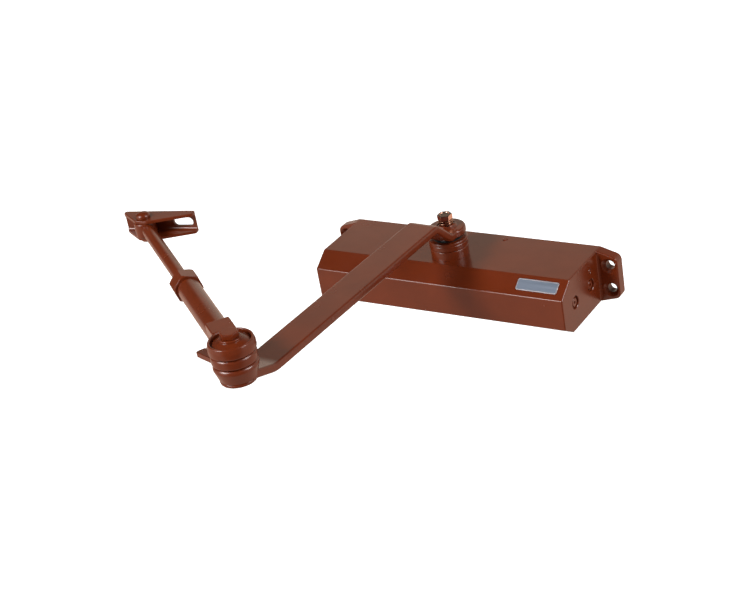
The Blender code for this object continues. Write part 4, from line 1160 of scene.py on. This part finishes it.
# Studio backdrop: (sine of elevation, colour) stops, and directions that reflect as dark:
# (azimuth, elevation, cosine where it starts, cosine where it is full, level).
SKY_STOPS = (
    (-1.0, (0.75, 0.52, 0.4)),
    (-0.25, (0.9, 0.65, 0.52)),
    (-0.02, (0.85, 0.72, 0.6)),
    (0.3, (0.76, 0.72, 0.6)),
    (0.46, (0.57, 0.53, 0.43)),
    (0.62, (0.2, 0.19, 0.17)),
    (0.75, (0.04, 0.04, 0.04)),
    (1.0, (0.03, 0.03, 0.03)),
)
SOFT_LEVEL = 0.6
DARK_SIDES = ((36.0, 0.0, 0.5, 0.86, 0.1), (-105.0, 20.0, 0.82, 0.95, 0.08))


def towards(azimuth, elevation):
    """Unit vector from the object to a direction; azimuth 0 is in front, 90 to the right."""
    around, above = math.radians(azimuth), math.radians(elevation)
    level = math.cos(above)
    return Vector((math.sin(around) * level, -math.cos(around) * level, math.sin(above)))


def build_world():
    """A graded backdrop for reflections, and an even soft level for the light that it casts."""
    world = bpy.data.worlds.new("studio")
    bpy.context.scene.world = world
    world.use_nodes = True
    tree = world.node_tree
    background = tree.nodes["Background"]
    direction = tree.nodes.new("ShaderNodeTexCoord").outputs["Generated"]
    split = tree.nodes.new("ShaderNodeSeparateXYZ")
    height = tree.nodes.new("ShaderNodeMapRange")
    height.inputs["From Min"].default_value = -1.0
    ramp = tree.nodes.new("ShaderNodeValToRGB")
    tree.links.new(direction, split.inputs[0])
    tree.links.new(split.outputs["Z"], height.inputs["Value"])
    tree.links.new(height.outputs["Result"], ramp.inputs["Fac"])
    elements = ramp.color_ramp.elements
    while len(elements) < len(SKY_STOPS):
        elements.new(0.5)
    for element, (sine, colour) in zip(elements, SKY_STOPS):
        element.position = (sine + 1) / 2
        element.color = (*colour, 1)
    strength = None
    for azimuth, elevation, start, full, level in DARK_SIDES:
        facing = tree.nodes.new("ShaderNodeVectorMath")
        facing.operation = "DOT_PRODUCT"
        facing.inputs[1].default_value = towards(azimuth, elevation)
        tree.links.new(direction, facing.inputs[0])
        shade = tree.nodes.new("ShaderNodeMapRange")
        shade.interpolation_type = "SMOOTHSTEP"
        for socket, value in zip(RANGE_SOCKETS, (start, full, 1.0, level)):
            shade.inputs[socket].default_value = value
        tree.links.new(facing.outputs["Value"], shade.inputs["Value"])
        if strength is None:
            strength = shade.outputs["Result"]
            continue
        both = tree.nodes.new("ShaderNodeMath")
        both.operation = "MULTIPLY"
        tree.links.new(strength, both.inputs[0])
        tree.links.new(shade.outputs["Result"], both.inputs[1])
        strength = both.outputs[0]
    # The dark sides only reflect; the soft light from them still falls on the object.
    rays = tree.nodes.new("ShaderNodeLightPath")
    pick = tree.nodes.new("ShaderNodeMix")
    tree.links.new(rays.outputs["Is Diffuse Ray"], pick.inputs[0])
    tree.links.new(strength, pick.inputs[2])
    pick.inputs[3].default_value = SOFT_LEVEL
    tree.links.new(ramp.outputs["Color"], background.inputs["Color"])
    tree.links.new(pick.outputs[0], background.inputs["Strength"])


LIGHT_TARGET = Vector((-0.05, -0.12, 0.03))
# name: (azimuth, elevation, distance, size, power, seen only in reflections)
LIGHT_BOXES = {
    "left_box": (-26, 40, 2.2, (0.6, 0.5), 34, False),
    "right_box": (92, 38, 2.2, (0.9, 0.75), 22, False),
    "low_box": (-35, 4, 2.5, (1.2, 0.8), 10, False),
    "left_panel": (-30, 35, 2.2, (1.1, 1.05), 50, True),
    "right_panel": (100, 36, 2.2, (1.0, 1.1), 34, True),
}


def area_light(name, place_at, target, size, power):
    data = bpy.data.lights.new(name, "AREA")
    data.shape = "RECTANGLE"
    data.size, data.size_y = size
    data.energy = power
    obj = bpy.data.objects.new(name, data)
    bpy.context.scene.collection.objects.link(obj)
    obj.location = place_at
    obj.rotation_euler = (target - place_at).to_track_quat("-Z", "Y").to_euler()
    return obj


def build_lights():
    """Soft boxes that light the paint, and broad panels seen only as gleams on its round edges."""
    for name, (azimuth, elevation, distance, size, power, gleam) in LIGHT_BOXES.items():
        place_at = LIGHT_TARGET + towards(azimuth, elevation) * distance
        light = area_light(name, place_at, LIGHT_TARGET, size, power)
        light.visible_diffuse = not gleam
        light.visible_glossy = gleam


CAMERA_AZIMUTH = 36.27
CAMERA_ELEVATION = 27.53
CAMERA_ROLL = -10.56
CAMERA_DISTANCE = 1.31173
CAMERA_TARGET = Vector((-0.0952, -0.0140, -0.0447))
CAMERA_LENS = 77.58


def build_camera():
    data = bpy.data.cameras.new("camera")
    data.sensor_width = 36
    data.lens = CAMERA_LENS
    data.clip_start = 0.05
    camera = bpy.data.objects.new("camera", data)
    bpy.context.scene.collection.objects.link(camera)
    back = towards(CAMERA_AZIMUTH, CAMERA_ELEVATION)
    right = Vector((-back.y, back.x, 0.0)).normalized()
    up = back.cross(right)
    roll = math.radians(CAMERA_ROLL)
    rolled_right = right * math.cos(roll) + up * math.sin(roll)
    rolled_up = up * math.cos(roll) - right * math.sin(roll)
    matrix = Matrix((rolled_right, rolled_up, back)).transposed().to_4x4()
    matrix.translation = CAMERA_TARGET + back * CAMERA_DISTANCE
    camera.matrix_world = matrix
    bpy.context.scene.camera = camera


bpy.context.scene.view_settings.view_transform = "Standard"
build_camera()
build_stage()
build_world()
build_lights()
build_housing()
build_label()
build_plugs()
build_valves()
build_spring()
build_gland()
build_main_arm()
build_spindle_fasteners()
build_disc()
build_forearm_tube()
build_lock_nut()
build_rod()
build_elbow_fasteners()
build_shoe()
build_shoe_pin()
finish_nodes()
